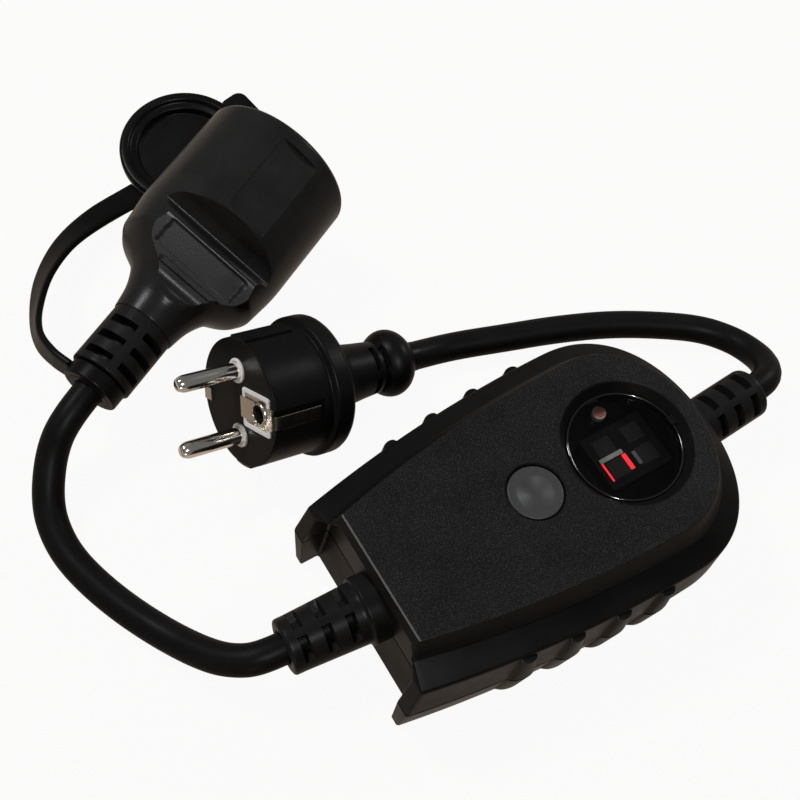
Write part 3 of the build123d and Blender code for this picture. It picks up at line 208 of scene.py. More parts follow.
def grain_group():
    """Moulded grain: fine noise for height, rare pale flecks where it peaks, and broad clouds of shade."""
    tree = bpy.data.node_groups.new("moulded_grain", "ShaderNodeTree")
    for way, sockets in GRAIN_SOCKETS.items():
        for socket in sockets:
            kind = "NodeSocketColor" if socket in ("Color", "Fleck") else "NodeSocketFloat"
            tree.interface.new_socket(socket, in_out=way, socket_type=kind)
    given = node(tree, "NodeGroupInput").outputs
    fine = noise(tree, given["Scale"])
    offset = math_node(tree, "SUBTRACT", noise(tree, CLOUD_SCALE, CLOUD_DETAIL), 0.5)
    flecked = math_node(tree, "MULTIPLY", ranged(tree, fine, FLECK_RANGE), given["Flecks"])
    mixed = blend(tree, flecked, given["Color"], given["Fleck"])
    level = math_node(tree, "ADD", math_node(tree, "MULTIPLY", offset, given["Variation"]), 1.0)
    grey = node(tree, "ShaderNodeCombineColor", {0: level, 1: level, 2: level}).outputs[0]
    swing = math_node(tree, "MULTIPLY", offset, ROUGHNESS_SWING)
    node(tree, "NodeGroupOutput", {
        "Color": blend(tree, 1.0, mixed, grey, "MULTIPLY"),
        "Roughness": math_node(tree, "ADD", given["Roughness"], swing),
        "Height": fine,
    })
    return tree


GRAIN = grain_group()


def grained(name, color, fleck, scale=900.0, flecks=0.1, variation=0.2, roughness=0.5, bump=0.1, depth=0.05,
            specular=0.5):
    """A moulded finish: the grain group's colour, roughness and height on one shader."""
    material, tree, shader = principled(name, {"Specular IOR Level": specular})
    given = {
        "Color": (*color, 1), "Fleck": (*fleck, 1), "Scale": scale, "Flecks": flecks,
        "Variation": variation, "Roughness": roughness,
    }
    grain = node(tree, "ShaderNodeGroup", given, node_tree=GRAIN)
    height = {"Strength": bump, "Distance": depth * MM, "Height": grain.outputs["Height"]}
    raised = node(tree, "ShaderNodeBump", height)
    feed(tree, shader, {
        "Base Color": grain.outputs["Color"],
        "Roughness": grain.outputs["Roughness"],
        "Normal": raised.outputs["Normal"],
    })
    return material


def metal(name, color, roughness):
    """Plated metal: near-mirror, with a faint cloudy change in roughness."""
    material, tree, shader = principled(name, {"Base Color": (*color, 1), "Metallic": 1.0})
    cloudy = ranged(tree, noise(tree, 400.0), {"To Min": roughness * 0.7, "To Max": roughness * 1.4})
    feed(tree, shader, {"Roughness": cloudy})
    return material


def smoked_window():
    """Dark glossy sheet that lets part of the light through."""
    given = {"Base Color": (0.003, 0.003, 0.0035, 1), "Specular IOR Level": 0.4, "Alpha": 0.22}
    material, tree, shader = principled("smoked_window", given)
    feed(tree, shader, {"Roughness": ranged(tree, noise(tree, 60.0), {"To Min": 0.02, "To Max": 0.05})})
    return material


def neutral(level):
    return level, level, level


HEIGHT = 41.0
TOP_BAND = 0.3
FRONT_EDGE_X = -50.75
# Painted light and shade: the top face's tone is lighter, as if lit from above, and the walls' tone is
# darker, as shade.
TOP_PAINTED_LIGHT_TONE = (0.0107, 0.0106, 0.0105)
WALL_PAINTED_SHADE_TONE = (0.0066, 0.0065, 0.0063)
# Painted highlight: a pale tone along the top face's sharp front edge.
PAINTED_HIGHLIGHT_TONE = (0.13, 0.13, 0.13)
TOP_FLECKS = 0.8


def housing_plastic():
    """Flecked on the top face, which is painted lighter as painted light from above; plain and painted darker
    on the walls as painted shade; and a painted highlight along the top's sharp front edge.
    """
    material = grained("housing_plastic", TOP_PAINTED_LIGHT_TONE, neutral(0.085), scale=4200.0, variation=0.4,
                       roughness=0.38, bump=0.5, depth=0.04, specular=0.07)
    tree = material.node_tree
    grain = next(made for made in tree.nodes if made.type == "GROUP")
    place = node(tree, "ShaderNodeTexCoord").outputs["Object"]
    place = node(tree, "ShaderNodeSeparateXYZ", {0: place}).outputs
    on_top = math_node(tree, "GREATER_THAN", place["Z"], (HEIGHT - TOP_BAND) * MM)
    at_front = math_node(tree, "LESS_THAN", place["X"], FRONT_EDGE_X * MM)
    # Painted light and shade: the top face gets the lighter tone and the walls get the darker one.
    face = blend(tree, on_top, (*WALL_PAINTED_SHADE_TONE, 1), (*TOP_PAINTED_LIGHT_TONE, 1))
    # Painted highlight: the top face's front edge gets the pale tone.
    edge = blend(tree, math_node(tree, "MULTIPLY", on_top, at_front), face, (*PAINTED_HIGHLIGHT_TONE, 1))
    feed(tree, grain, {"Color": edge, "Flecks": math_node(tree, "MULTIPLY", on_top, TOP_FLECKS)})
    return material


def lit_bar():
    material = grained("red_bar", (0.7, 0.01, 0.015), (0.75, 0.05, 0.05), variation=0.1, roughness=0.4)
    tree = material.node_tree
    glow = {"Emission Color": (1.0, 0.018, 0.03, 1), "Emission Strength": 1.9}
    feed(tree, tree.nodes["Principled BSDF"], glow)
    return material


FINISH = {
    "housing": housing_plastic(),
    "button": grained("button_plastic", neutral(0.047), neutral(0.09), scale=2600.0, flecks=0.2,
                      variation=0.1, roughness=0.46, bump=0.15, specular=0.25),
    "seal": grained("black_seal", neutral(0.003), neutral(0.01), scale=1500.0, roughness=0.7, bump=0.2,
                    specular=0.1),
    "relief": grained("relief_rubber", (0.0135, 0.0133, 0.013), neutral(0.03), scale=1800.0, flecks=0.2,
                      variation=0.3, roughness=0.34, bump=0.3, specular=0.05),
    "cable": grained("cable_rubber", (0.0085, 0.0084, 0.0083), neutral(0.02), scale=1500.0, flecks=0.2,
                     variation=0.3, roughness=0.42, bump=0.3, specular=0.04),
    "plug": grained("plug_rubber", (0.0068, 0.0067, 0.0065), neutral(0.03), scale=1800.0, flecks=0.2,
                    variation=0.4, roughness=0.38, bump=0.35, specular=0.06),
    "coupler": grained("coupler_rubber", (0.0168, 0.0164, 0.0158), neutral(0.05), scale=2000.0, flecks=0.15,
                       variation=0.6, roughness=0.28, bump=0.4, specular=0.09),
    "cap": grained("cap_rubber", (0.0054, 0.0054, 0.0052), neutral(0.02), scale=1800.0, flecks=0.2,
                   variation=0.6, roughness=0.34, bump=0.35, specular=0.06),
    "display": grained("display_case", neutral(0.002), neutral(0.004), specular=0.1),
    "sensor": grained("sensor_ceramic", (1.0, 0.7, 0.56), (1.0, 0.5, 0.4), scale=1200.0, flecks=0.2,
                      bump=0.2),
    "board": grained("board_mask", (0.002, 0.003, 0.002), (0.003, 0.004, 0.003), scale=700.0, variation=0.3,
                     specular=0.1),
    "inner": grained("component_plastic", (0.003, 0.003, 0.004), neutral(0.004), roughness=0.4, specular=0.1),
    "white": grained("white_plastic", neutral(0.82), neutral(0.86), variation=0.06, roughness=0.32),
    "nickel": metal("nickel_plate", (0.86, 0.82, 0.75), 0.12),
    "steel": metal("zinc_plate", (0.60, 0.61, 0.62), 0.3),
    "brass": metal("brass", (0.80, 0.62, 0.30), 0.25),
    "window": smoked_window(),
}
DIM_FINISH = grained("dim_field", (0.013, 0.014, 0.011), neutral(0.03), variation=1.6, specular=0.2)
GREY_FINISH = grained("grey_bar", (0.5, 0.5, 0.47), (0.6, 0.6, 0.55), scale=500.0, variation=1.5,
                      roughness=0.4)
STUB_FINISH = grained("dim_bar", (0.16, 0.18, 0.16), neutral(0.2), scale=500.0, variation=1.8, roughness=0.4)
LIT_FINISH = lit_bar()
TRACK_FINISH = grained("sensor_track", (0.6, 0.04, 0.015), (0.6, 0.06, 0.03), scale=1200.0, bump=0.2)
# Painted shade: a much darker copy of the strip metal, for the near side clip.
SHADED_STRIP_FINISH = metal("painted_shade_strip", (0.07, 0.062, 0.055), 0.3)
STRIP_FINISH = metal("bent_strip", (0.46, 0.42, 0.36), 0.25)
RIM_FINISH = grained("polished_rim", neutral(0.002), neutral(0.003), roughness=0.1, bump=0.02, depth=0.02,
                     specular=1.0)


def dress_nodes():
    """Gives each CAD node its slot's finish."""
    for part in frame["record"]["subparts"]:
        mesh = NODES[part["node"]].data
        mesh.materials.clear()
        mesh.materials.append(FINISH[part["material_slot"]])


# Shapes: a surface is a grid of points, and a piece is a few surfaces welded into one mesh

SAME_POINT = 1e-7
LEAST_RISE = 1e-9
WELD_REACH = 3e-6
PANE_ROUND, FINE_ROUND, SMALL_ROUND = 160, 128, 40


def unit(values):
    vector = np.asarray(values, float)
    return vector / np.linalg.norm(vector)


def units(rows):
    return rows / np.linalg.norm(rows, axis=1)[:, None]


class Seat:
    """Where a piece sits: an origin, an axis, and two directions square to it, across and up."""

    def __init__(self, origin, axis, across):
        self.origin = np.asarray(origin, float)
        self.axis = unit(axis)
        rough = np.asarray(across, float)
        self.across = unit(rough - self.axis * rough.dot(self.axis))
        self.up = np.cross(self.axis, self.across)

    def place(self, x, y, z):
        """Point = origin + x across + y up + z along the axis, for whole arrays."""
        x, y, z = np.broadcast_arrays(x, y, z)
        return self.origin + x[..., None] * self.across + y[..., None] * self.up + z[..., None] * self.axis

    def moved(self, x, y):
        return Seat(self.place(x, y, 0.0), self.axis, self.across)


UPRIGHT = Seat((0, 0, 0), (0, 0, 1), (1, 0, 0))


def eased(corners, reaches, steps=5):
    """A profile with round corners: each is the quadratic curve between two points at its reach."""
    corners = np.asarray(corners, float)
    rows = [corners[:1]]
    share = np.linspace(0, 1, steps)[:, None]
    for before, corner, after, reach in zip(corners, corners[1:], corners[2:], reaches):
        if reach == 0:
            rows.append(corner[None])
            continue
        start = corner + (before - corner) * min(reach / np.linalg.norm(before - corner), 0.5)
        finish = corner + (after - corner) * min(reach / np.linalg.norm(after - corner), 0.5)
        rows.append((1 - share) ** 2 * start + 2 * share * (1 - share) * corner + share ** 2 * finish)
    rows.append(corners[-1:])
    return np.concatenate(rows)


def with_rows(stations, values):
    """Adds rows at more values of the first column, each on the straight line between its neighbours."""
    key = stations[:, 0]
    values = np.asarray(values, float)
    more = np.stack([np.interp(values, key, column) for column in stations.T], axis=1)
    rows = np.concatenate([stations, more])
    return rows[np.argsort(rows[:, 0], kind="stable")]


def plateau(values, centre, half, ramp):
    """One within half of the centre, nothing beyond, and a straight ramp between."""
    return np.clip((half + ramp / 2 - np.abs(values - centre)) / ramp, 0, 1)


def samples(low, high, step, marks):
    """Even values from low to high, with the marks that lie between them."""
    even = np.linspace(low, high, int(round((high - low) / step)) + 1)
    marks = np.ravel(marks)
    return np.unique(np.concatenate([even, marks[(marks > low) & (marks < high)]]).round(5))


def round_angles(count):
    return np.linspace(0, 2 * np.pi, count, endpoint=False)


def sheet(points):
    """Quads between the neighbours of a grid of points whose last column meets its first."""
    rows, columns = points.shape[:2]
    index = np.arange(rows * columns).reshape(rows, columns)
    index = np.concatenate([index, index[:, :1]], axis=1)
    faces = np.stack([index[:-1, :-1], index[:-1, 1:], index[1:, 1:], index[1:, :-1]], axis=-1)
    return points.reshape(-1, 3), faces.reshape(-1, 4)


def lid(loop):
    """Closes a loop with triangles to its middle."""
    middle = loop.mean(axis=0, keepdims=True)
    return sheet(np.stack([loop, np.broadcast_to(middle, loop.shape)]))


def within(points, loop):
    """Even-odd test: counts the loop's edges that a line from each point toward +x crosses."""
    ahead = np.roll(loop, -1, axis=0)
    rise = np.where(ahead[:, 1] == loop[:, 1], LEAST_RISE, ahead[:, 1] - loop[:, 1])
    y = points[:, 1:2]
    crossing = (loop[:, 1] > y) != (ahead[:, 1] > y)
    x = loop[:, 0] + (y - loop[:, 1]) * (ahead[:, 0] - loop[:, 0]) / rise
    return (crossing & (x > points[:, :1])).sum(axis=1) % 2 == 1


def plate(seat, height, outline, holes=()):
    """A flat sheet at one height of a seat, filled with triangles between its outline and holes."""
    edges = []
    count = 0
    for loop in (outline, *holes):
        index = count + np.arange(len(loop))
        edges += np.c_[index, np.roll(index, -1)].tolist()
        count += len(loop)
    flat = list(map(Vector, np.concatenate([outline, *holes]).tolist()))
    found = delaunay_2d_cdt(flat, edges, [], 1, SAME_POINT)
    corners = np.array(list(map(tuple, found[0])))
    faces = np.array(found[2])
    middles = corners[faces].mean(axis=1)
    kept = within(middles, outline)
    for hole in holes:
        kept &= ~within(middles, hole)
    return seat.place(corners[:, 0], corners[:, 1], height), faces[kept]


def level(height, ring, holes):
    """A plate from the x and y of its loops."""
    return plate(UPRIGHT, height, ring[:, :2], [hole[:, :2] for hole in holes])


def turned(seat, radius, height, angles):
    """Point = (radius cos a, radius sin a, height) in the seat; radius and height may vary round it."""
    radius, height = (np.asarray(v, float) for v in (radius, height))
    radius = radius[:, None] if radius.ndim == 1 else radius
    height = height[:, None] if height.ndim == 1 else height
    return sheet(seat.place(radius * np.cos(angles), radius * np.sin(angles), height))


def revolved(seat, profile, count=96):
    return turned(seat, profile[:, 0], profile[:, 1], round_angles(count))


def disc(radius, at, count=SMALL_ROUND):
    def loop(inset):
        angles = round_angles(count)
        reach = radius - inset
        return np.c_[at[0] + reach * np.cos(angles), at[1] + reach * np.sin(angles)]
    return loop


def oblong(long, wide, corner, at=(0, 0), steps=6):
    """A rectangle whose corners are quarter circles."""
    def loop(inset):
        reach = max(corner - inset, 0.02)
        quarter = np.linspace(0, np.pi / 2, steps)
        spots = []
        for turn, (x, y) in enumerate([(1, 1), (-1, 1), (-1, -1), (1, -1)]):
            angles = quarter + turn * np.pi / 2
            across = at[0] + x * (long / 2 - inset - reach) + reach * np.cos(angles)
            up = at[1] + y * (wide / 2 - inset - reach) + reach * np.sin(angles)
            spots.append(np.c_[across, up])
        return np.concatenate(spots)
    return loop


def slab(seat, low, high, edge, outline, holes=()):
    """A flat part with eased top edges."""
    bend = 0.3 * edge
    steps = [(0, low), (0, high - edge), (bend, high - bend), (edge, high)]
    patches = [
        sheet(np.stack([seat.place(*loop(side * inset).T, height) for inset, height in steps]))
        for loop, side in [(outline, 1)] + [(hole, -1) for hole in holes]
    ]
    patches.append(plate(seat, low, outline(0), [hole(0) for hole in holes]))
    patches.append(plate(seat, high, outline(edge), [hole(-edge) for hole in holes]))
    return patches


def piece(name, patches, slot, replaces=(), finish=None, body="housing", sharp=35.0):
    """Welds surfaces into one mesh, turns its faces outward, and gives it a body and a finish, which is its
    slot's unless another is given.
    """
    points = np.concatenate([spots for spots, corners in patches]) * MM
    faces = []
    count = 0
    for spots, corners in patches:
        faces += (corners + count).tolist()
        count += len(spots)
    mesh = bpy.data.meshes.new(name)
    mesh.from_pydata(points.tolist(), [], faces)
    welded = bmesh.new()
    welded.from_mesh(mesh)
    bmesh.ops.remove_doubles(welded, verts=welded.verts, dist=WELD_REACH)
    bmesh.ops.recalc_face_normals(welded, faces=welded.faces)
    welded.to_mesh(mesh)
    welded.free()
    mesh.shade_smooth()
    mesh.set_sharp_from_angle(angle=radians(sharp))
    mesh.materials.append(finish or FINISH[slot])
    made = placed(name, mesh)
    even = made.modifiers.new("even_shading", "WEIGHTED_NORMAL")
    even.keep_sharp = True
    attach(made, body)
    if replaces:
        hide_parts(*replaces)
    return made


# Housing

FRONT_X, END_X = -58.0, 58.0
ROUND_REACH = 31.0
LENS_X = END_X - ROUND_REACH
SIDE_HALF = 38.0
PARTING_Z, BELT_Z, RISER_Z = 17.0, 30.6, 34.4
PARTING_GAP, PARTING_EDGE = 0.36, 0.15
LEVELS = [0.0, PARTING_Z, BELT_Z, RISER_Z, HEIGHT]
NARROWING = [8.8, 8.8, 9.7, 11.6, 11.0]
FULLNESS = [2.25, 2.25, 2.25, 2.0, 2.0]
FOOT_INSET, BELT_INSET, RISER_INSET, TOP_INSET = 1.7, 0.7, 7.1, 9.9
BELT_END_INSET, RISER_END_INSET, TOP_END_INSET = 0.5, 5.2, 7.9
BELT_SETBACK, RISER_SETBACK, TOP_SETBACK = 3.0, 4.6, 6.9
WALL, FLOOR_Z, ROOF_Z = 2.6, 2.4, 38.6
MOUTH_X, MOUTH_SLANT, MOUTH_ROOF_Z = -50.0, 1.9, 37.7
MOUTH_HALF, MOUTH_HALF_BELT, MOUTH_HALF_ROOF = 24.6, 24.0, 17.0
MOUTH_CORNER, HORN_CORNER, HORN_EDGE = 0.8, 0.6, 0.3
EVEN_FROM_X = FRONT_X + 14.0
RIBS_X = np.array([16.8, 2.54, -11.72, -25.98])
RIB_FOOT_Z, RIB_TOP_Z, RIB_PROUD = 2.2, 29.2, 1.55
RIB_WIDE, RIB_NARROW = 3.9, 2.3
RIB_EASE = 1.6
BUTTON_X, BUTTON_R, BUTTON_TOP_Z = -3.5, 7.6, 40.6
RECESS_R, RECESS_FOOT_R, COLLAR_R, SIGHT_R = 18.56, 16.7, 19.1, 15.5
WINDOW_R, RIM_R, BEAD = 16.4, 15.6, 0.4
SEAT_R, WINDOW_Z, WINDOW_TOP_Z, SEAL_Z = 16.55, 36.2, 38.2, 35.6
SCREWS_AT = [(-40.0, 19.0), (-40.0, -19.0), (42.0, 21.0), (42.0, -21.0)]
SCREW_POCKET_R, BOSS_R = 3.5, 3.8

LENS = UPRIGHT.moved(LENS_X, 0)
BUTTON = UPRIGHT.moved(BUTTON_X, 0)


def side_half(x, z, inset):
    """Half the width: full at the lens, and less toward the horns as a parabola."""
    return SIDE_HALF - inset - np.interp(z, LEVELS, NARROWING) * ((LENS_X - x) / (LENS_X - FRONT_X)) ** 2


def rib_swell(x, z):
    """How far the ribs stand out: half-ellipses across the wall, narrower toward the top."""
    half = np.interp(z, [PARTING_Z, RIB_TOP_Z], [RIB_WIDE, RIB_NARROW])
    ends = np.interp(z, [RIB_FOOT_Z, RIB_FOOT_Z + RIB_EASE, RIB_TOP_Z - 0.2, RIB_TOP_Z], [0, 1, 1, 0])
    away = (x[..., None] - RIBS_X) / half[..., None]
    return RIB_PROUD * np.sqrt(ends * np.clip(1 - away ** 2, 0, None).max(axis=-1))


def outline(z, inset, end_inset, front_x, mouth_half=np.nan, wall_x=MOUTH_X, ribbed=True):
    """The housing's outline at each of several heights.

    From the middle of the mouth: its back wall, its corner, the horn's inner wall and end, the bowed side,
    and a superellipse end; then the same mirrored. Without a mouth its points lie along the front.
    """
    given = np.broadcast_arrays(z, inset, end_inset, front_x, mouth_half, wall_x)
    z, inset, end_inset, front_x, half, wall_x = (row[:, None] for row in given)
    shut = np.isnan(half)
    half = np.where(shut, MOUTH_HALF_ROOF, half)
    depth = np.where(shut, 0.0, wall_x - front_x)
    edge = np.where(shut, 0.0, HORN_EDGE)
    inner = np.where(shut, 0.0, MOUTH_CORNER)
    front_half = side_half(front_x, z, inset)
    along = np.linspace(0, 1, 5)[:-1]
    turn = along * np.pi / 2
    grow, shrink = 1 - np.cos(turn), 1 - np.sin(turn)
    rib_halves = np.repeat([RIB_WIDE, RIB_WIDE - 0.15, RIB_NARROW], 2)
    rib_marks = RIBS_X[:, None] + np.array([-1, 1, -1, 1, -1, 1]) * rib_halves
    x_even = samples(EVEN_FROM_X, LENS_X, 0.55, rib_marks)[:-1]
    x_start = front_x + HORN_CORNER + (EVEN_FROM_X - front_x - HORN_CORNER) * np.linspace(0, 1, 12)[:-1]
    x_side = np.concatenate([x_start, x_even + 0 * z], axis=1)
    swell = rib_swell(x_side, z) if ribbed else 0
    sweep = np.linspace(0, np.pi / 2, 44)
    power = 2 / np.interp(z, LEVELS, FULLNESS)
    runs = [
        (front_x + depth, -along * (half - MOUTH_CORNER)),
        (front_x + depth - inner * grow, MOUTH_CORNER * shrink - half),
        (front_x + edge + (depth - inner - edge) * (1 - along), -half),
        (front_x + edge * shrink, -half - HORN_EDGE * grow),
        (front_x, -(half + HORN_EDGE) - along * (front_half - HORN_CORNER - half - HORN_EDGE)),
        (front_x + HORN_CORNER * grow, HORN_CORNER * shrink - front_half),
        (x_side, -side_half(x_side, z, inset) - swell),
        (LENS_X + (ROUND_REACH - end_inset) * np.sin(sweep) ** power,
         -(SIDE_HALF - inset) * np.cos(sweep) ** power),
    ]
    near = np.concatenate([np.stack([x + 0 * y, y + 0 * x], axis=-1) for x, y in runs], axis=1)
    flat = np.concatenate([near, near[:, -2:0:-1] * np.array([1, -1])], axis=1)
    return np.concatenate([flat, np.broadcast_to(z[..., None], flat.shape[:2] + (1,))], axis=2)


def hollow(stations):
    """The inside of a shell from rows of (z, inset, end inset), with a straight front behind the mouth."""
    z, inset, end_inset = np.array(stations).T
    return outline(z, inset + WALL, end_inset + WALL, MOUTH_X + WALL, ribbed=False)


def housing_cover():
    """Upper shell: parting edge, wall, belt, skirt, riser and top, with the lens well and button hole."""
    low = PARTING_Z + PARTING_GAP
    stations = eased(
        [
            (low, PARTING_EDGE, PARTING_EDGE, FRONT_X + PARTING_EDGE),
            (low + PARTING_EDGE, 0, 0, FRONT_X),
            (BELT_Z, BELT_INSET, BELT_END_INSET, FRONT_X + BELT_SETBACK),
            (RISER_Z, RISER_INSET, RISER_END_INSET, FRONT_X + RISER_SETBACK),
            (HEIGHT, TOP_INSET, TOP_END_INSET, FRONT_X + TOP_SETBACK),
            (HEIGHT, TOP_INSET + 1, TOP_END_INSET + 1, FRONT_X + TOP_SETBACK + 1),
        ],
        [0, 0.9, 0.8, 0.45],
    )[:-1]
    stations = with_rows(stations, [20, 24, RIB_TOP_Z - 0.2, RIB_TOP_Z, MOUTH_ROOF_Z - 0.01, MOUTH_ROOF_Z])
    z, inset, end_inset, front_x = stations.T
    half = np.interp(z, [PARTING_Z, BELT_Z, MOUTH_ROOF_Z], [MOUTH_HALF, MOUTH_HALF_BELT, MOUTH_HALF_ROOF])
    outer = outline(z, inset, end_inset, front_x, np.where(z < MOUTH_ROOF_Z, half, np.nan))
    inside = hollow([
        (low, 0, 0),
        (BELT_Z - WALL / 2, BELT_INSET, BELT_END_INSET),
        (RISER_Z - WALL / 2, RISER_INSET, RISER_END_INSET),
        (ROOF_Z, TOP_INSET, TOP_END_INSET),
    ])
    ledge_z, rim_r, rim_z = SEAL_Z - 1.6, RECESS_R + 0.35, HEIGHT - 0.35
    well = eased(
        [(COLLAR_R, ROOF_Z), (COLLAR_R, ledge_z), (SIGHT_R, ledge_z), (SIGHT_R, SEAL_Z), (SEAT_R, SEAL_Z),
         (SEAT_R, WINDOW_TOP_Z), (RECESS_FOOT_R, WINDOW_TOP_Z), (RECESS_R - 0.1, rim_z), (rim_r, HEIGHT)],
        [0, 0, 0, 0, 0, 0, 0.3],
    )
    hole_r, chamfer = BUTTON_R + 0.2, 0.6
    hole = eased([(hole_r, ROOF_Z), (hole_r, HEIGHT - chamfer), (hole_r + chamfer, HEIGHT)], [0.4])

    def openings(lens_r, button_r):
        rounds = (lens_r, LENS_X), (button_r, BUTTON_X)
        return [disc(radius, (x, 0), FINE_ROUND)(0) for radius, x in rounds]

    patches = [
        sheet(outer), sheet(inside), level(low, outer[0], [inside[0]]),
        level(HEIGHT, outer[-1], openings(rim_r, hole_r + chamfer)),
        level(ROOF_Z, inside[-1], openings(COLLAR_R, hole_r)),
        revolved(LENS, well, FINE_ROUND), revolved(BUTTON, hole, FINE_ROUND),
    ]
    piece("housing_cover", patches, "housing", ["upper_housing"])


def housing_tray():
    """Lower shell: tapered wall up to the parting, eased foot, and a flat base with four screw pockets."""
    high = PARTING_Z - PARTING_GAP
    stations = eased(
        [
            (0, FOOT_INSET + 1, FOOT_INSET + 1, FRONT_X + 1.3),
            (0, FOOT_INSET, FOOT_INSET, FRONT_X + 0.3),
            (high - PARTING_EDGE, 0, 0, FRONT_X),
            (high, PARTING_EDGE, PARTING_EDGE, FRONT_X + PARTING_EDGE),
        ],
        [0.8, 0],
    )[1:]
    rib_rows = RIB_FOOT_Z + np.array([0, 0.3, 0.8, RIB_EASE])
    z, inset, end_inset, front_x = with_rows(stations, [*rib_rows, 8, 12]).T
    wall_x = MOUTH_X - MOUTH_SLANT * (1 - z / PARTING_Z)
    outer = outline(z, inset, end_inset, front_x, MOUTH_HALF, wall_x)
    inside = hollow([(FLOOR_Z, FOOT_INSET, FOOT_INSET), (high, 0, 0)])
    pocket = np.array([(SCREW_POCKET_R, 0.0), (3.2, 0.3), (3.2, 3.4), (0.0, 3.4)])
    boss = np.array([(BOSS_R, FLOOR_Z), (BOSS_R, high), (0.0, high)])
    posts = [revolved(UPRIGHT.moved(*at), line, SMALL_ROUND) for at in SCREWS_AT for line in (pocket, boss)]
    patches = [
        sheet(outer), sheet(inside), level(high, outer[-1], [inside[-1]]),
        level(0.0, outer[0], [disc(SCREW_POCKET_R, at)(0) for at in SCREWS_AT]),
        level(FLOOR_Z, inside[0], [disc(BOSS_R, at)(0) for at in SCREWS_AT]),
    ]
    piece("housing_tray", patches + posts, "housing", ["lower_housing"])


def parting_seal():
    """A black seal just inside the joint of the two shells, all the way round."""
    z = np.array([PARTING_Z - PARTING_GAP, PARTING_Z + PARTING_GAP])
    outer, inner = (
        outline(z, inset, inset, FRONT_X + inset, MOUTH_HALF + inset, MOUTH_X + inset)
        for inset in (PARTING_EDGE + 0.05, 1.0)
    )
    flat = [level(height, outer[0], [inner[0]]) for height in z]
    piece("parting_seal", [sheet(outer), sheet(inner), *flat], "seal", ["housing_seal"])


def button_cap():
    """A rimmed button whose middle is a soft dish, deepest at the centre."""
    dish_r, dish_deep, lip_z = 5.4, 1.3, BUTTON_TOP_Z - 0.1
    stem_r, stem_z, flange_r, flange_z, flange_top_z = 2.0, 33.4, 8.8, 37.2, 38.55
    radii = np.linspace(dish_r, 0, 16)
    dish = np.c_[radii, lip_z - dish_deep * (1 - (radii / dish_r) ** 2) ** 1.5]
    side = eased(
        [(0, stem_z), (stem_r, stem_z), (stem_r, flange_z), (flange_r, flange_z), (flange_r, flange_top_z),
         (BUTTON_R, flange_top_z), (BUTTON_R, BUTTON_TOP_Z), (dish_r, lip_z)],
        [0, 0, 0, 0, 0, 0.6],
    )
    patches = [revolved(BUTTON, np.concatenate([side, dish[1:]]))]
    piece("button_cap", patches, "button", ["push_button"], body="button", sharp=50)


def window_pane():
    """A round window with a barely domed face, inside a polished rim that has a bead and one dark catch."""
    radii = np.linspace(RIM_R, 0, 14)
    face = np.c_[radii, WINDOW_TOP_Z + 0.2 * (1 - (radii / RIM_R) ** 2)]
    pane = np.concatenate([[(0, WINDOW_Z), (RIM_R, WINDOW_Z)], face])
    piece("window_pane", [revolved(LENS, pane, PANE_ROUND)], "window", ["lens_window"])
    inner_r, bead_z = RIM_R + 0.02, WINDOW_TOP_Z + BEAD
    foot = (inner_r, WINDOW_Z)
    bead = eased([foot, (WINDOW_R, WINDOW_Z), (WINDOW_R, bead_z), (inner_r, bead_z), foot], [0, 0.5, 0.45], 7)
    piece("window_rim", [revolved(LENS, bead, PANE_ROUND)], "window", (), RIM_FINISH)
    catch = slab(LENS, WINDOW_TOP_Z, WINDOW_TOP_Z + 0.9, 0.25, oblong(2.6, 2.8, 0.4, (WINDOW_R, 0)))
    piece("window_catch", catch, "seal")


# Display and light sensor

DISPLAY_FOOT_Z, DISPLAY_TOP_Z = 28.6, 34.0
DIGITS_X = (-3.2, 6.6)


def bars(name, boxes, finish):
    """Thin bars on the display: each is centre x and y from the lens's middle, length along x and along y."""
    patches = []
    for x, y, long, wide in boxes:
        loop = oblong(long, wide, 0.15, (x, y), 3)
        patches += slab(LENS, DISPLAY_TOP_Z - 0.1, DISPLAY_TOP_Z + 0.06, 0.03, loop)
    piece(name, patches, "display", (), finish)


def display():
    case = slab(LENS, DISPLAY_FOOT_Z, DISPLAY_TOP_Z, 0.3, oblong(20.5, 17.0, 0.5, (1.75, 0)))
    piece("display_case", case, "display", ["led_display"])
    left, right = DIGITS_X
    bars("digit_fields", [(x, y, 5.6, 5.2) for x in DIGITS_X for y in (3.6, -3.4)], DIM_FINISH)
    bars("lit_bars", [(left - 3.5, -3.2, 0.55, 5.8), (left + 3.5, -3.1, 1.3, 5.0)], LIT_FINISH)
    bars("unlit_bar", [(left + 0.05, 0.35, 7.6, 1.3)], GREY_FINISH)
    bars("dark_bar", [(right - 3.4, -3.3, 1.1, 4.2)], STUB_FINISH)


def light_sensor():
    """A ceramic disc on two legs, with a red-brown track that runs to and fro across it."""
    at, radius, foot_z, leg_r = (2.0, 12.9), 2.0, 32.0, 0.3
    track_r, track_step = 1.7, 0.58
    body = eased([(0, foot_z), (radius, foot_z), (radius, DISPLAY_TOP_Z), (0, DISPLAY_TOP_Z)], [0.15, 0.25])
    leg = np.array([(0, DISPLAY_FOOT_Z), (leg_r, DISPLAY_FOOT_Z), (leg_r, foot_z), (0, foot_z)])
    patches = [revolved(LENS.moved(*at), body, 48)]
    patches += [revolved(LENS.moved(at[0] + side, at[1]), leg, 12) for side in (-1.0, 1.0)]
    piece("light_sensor", patches, "sensor", ["photoresistor"])
    track = []
    for step in range(-2, 3):
        reach = sqrt(track_r ** 2 - (track_step * step) ** 2)
        loop = oblong(2 * reach, 0.34, 0.15, (at[0], at[1] + track_step * step), 3)
        track += slab(LENS, DISPLAY_TOP_Z - 0.05, DISPLAY_TOP_Z + 0.08, 0.04, loop)
    piece("sensor_track", track, "sensor", (), TRACK_FINISH)


# Strain reliefs

SLOT_MIDDLES = np.radians([36, 144, 216, 324])
SLOT_ARC = radians(54)
SLOT_RAMP = 0.25


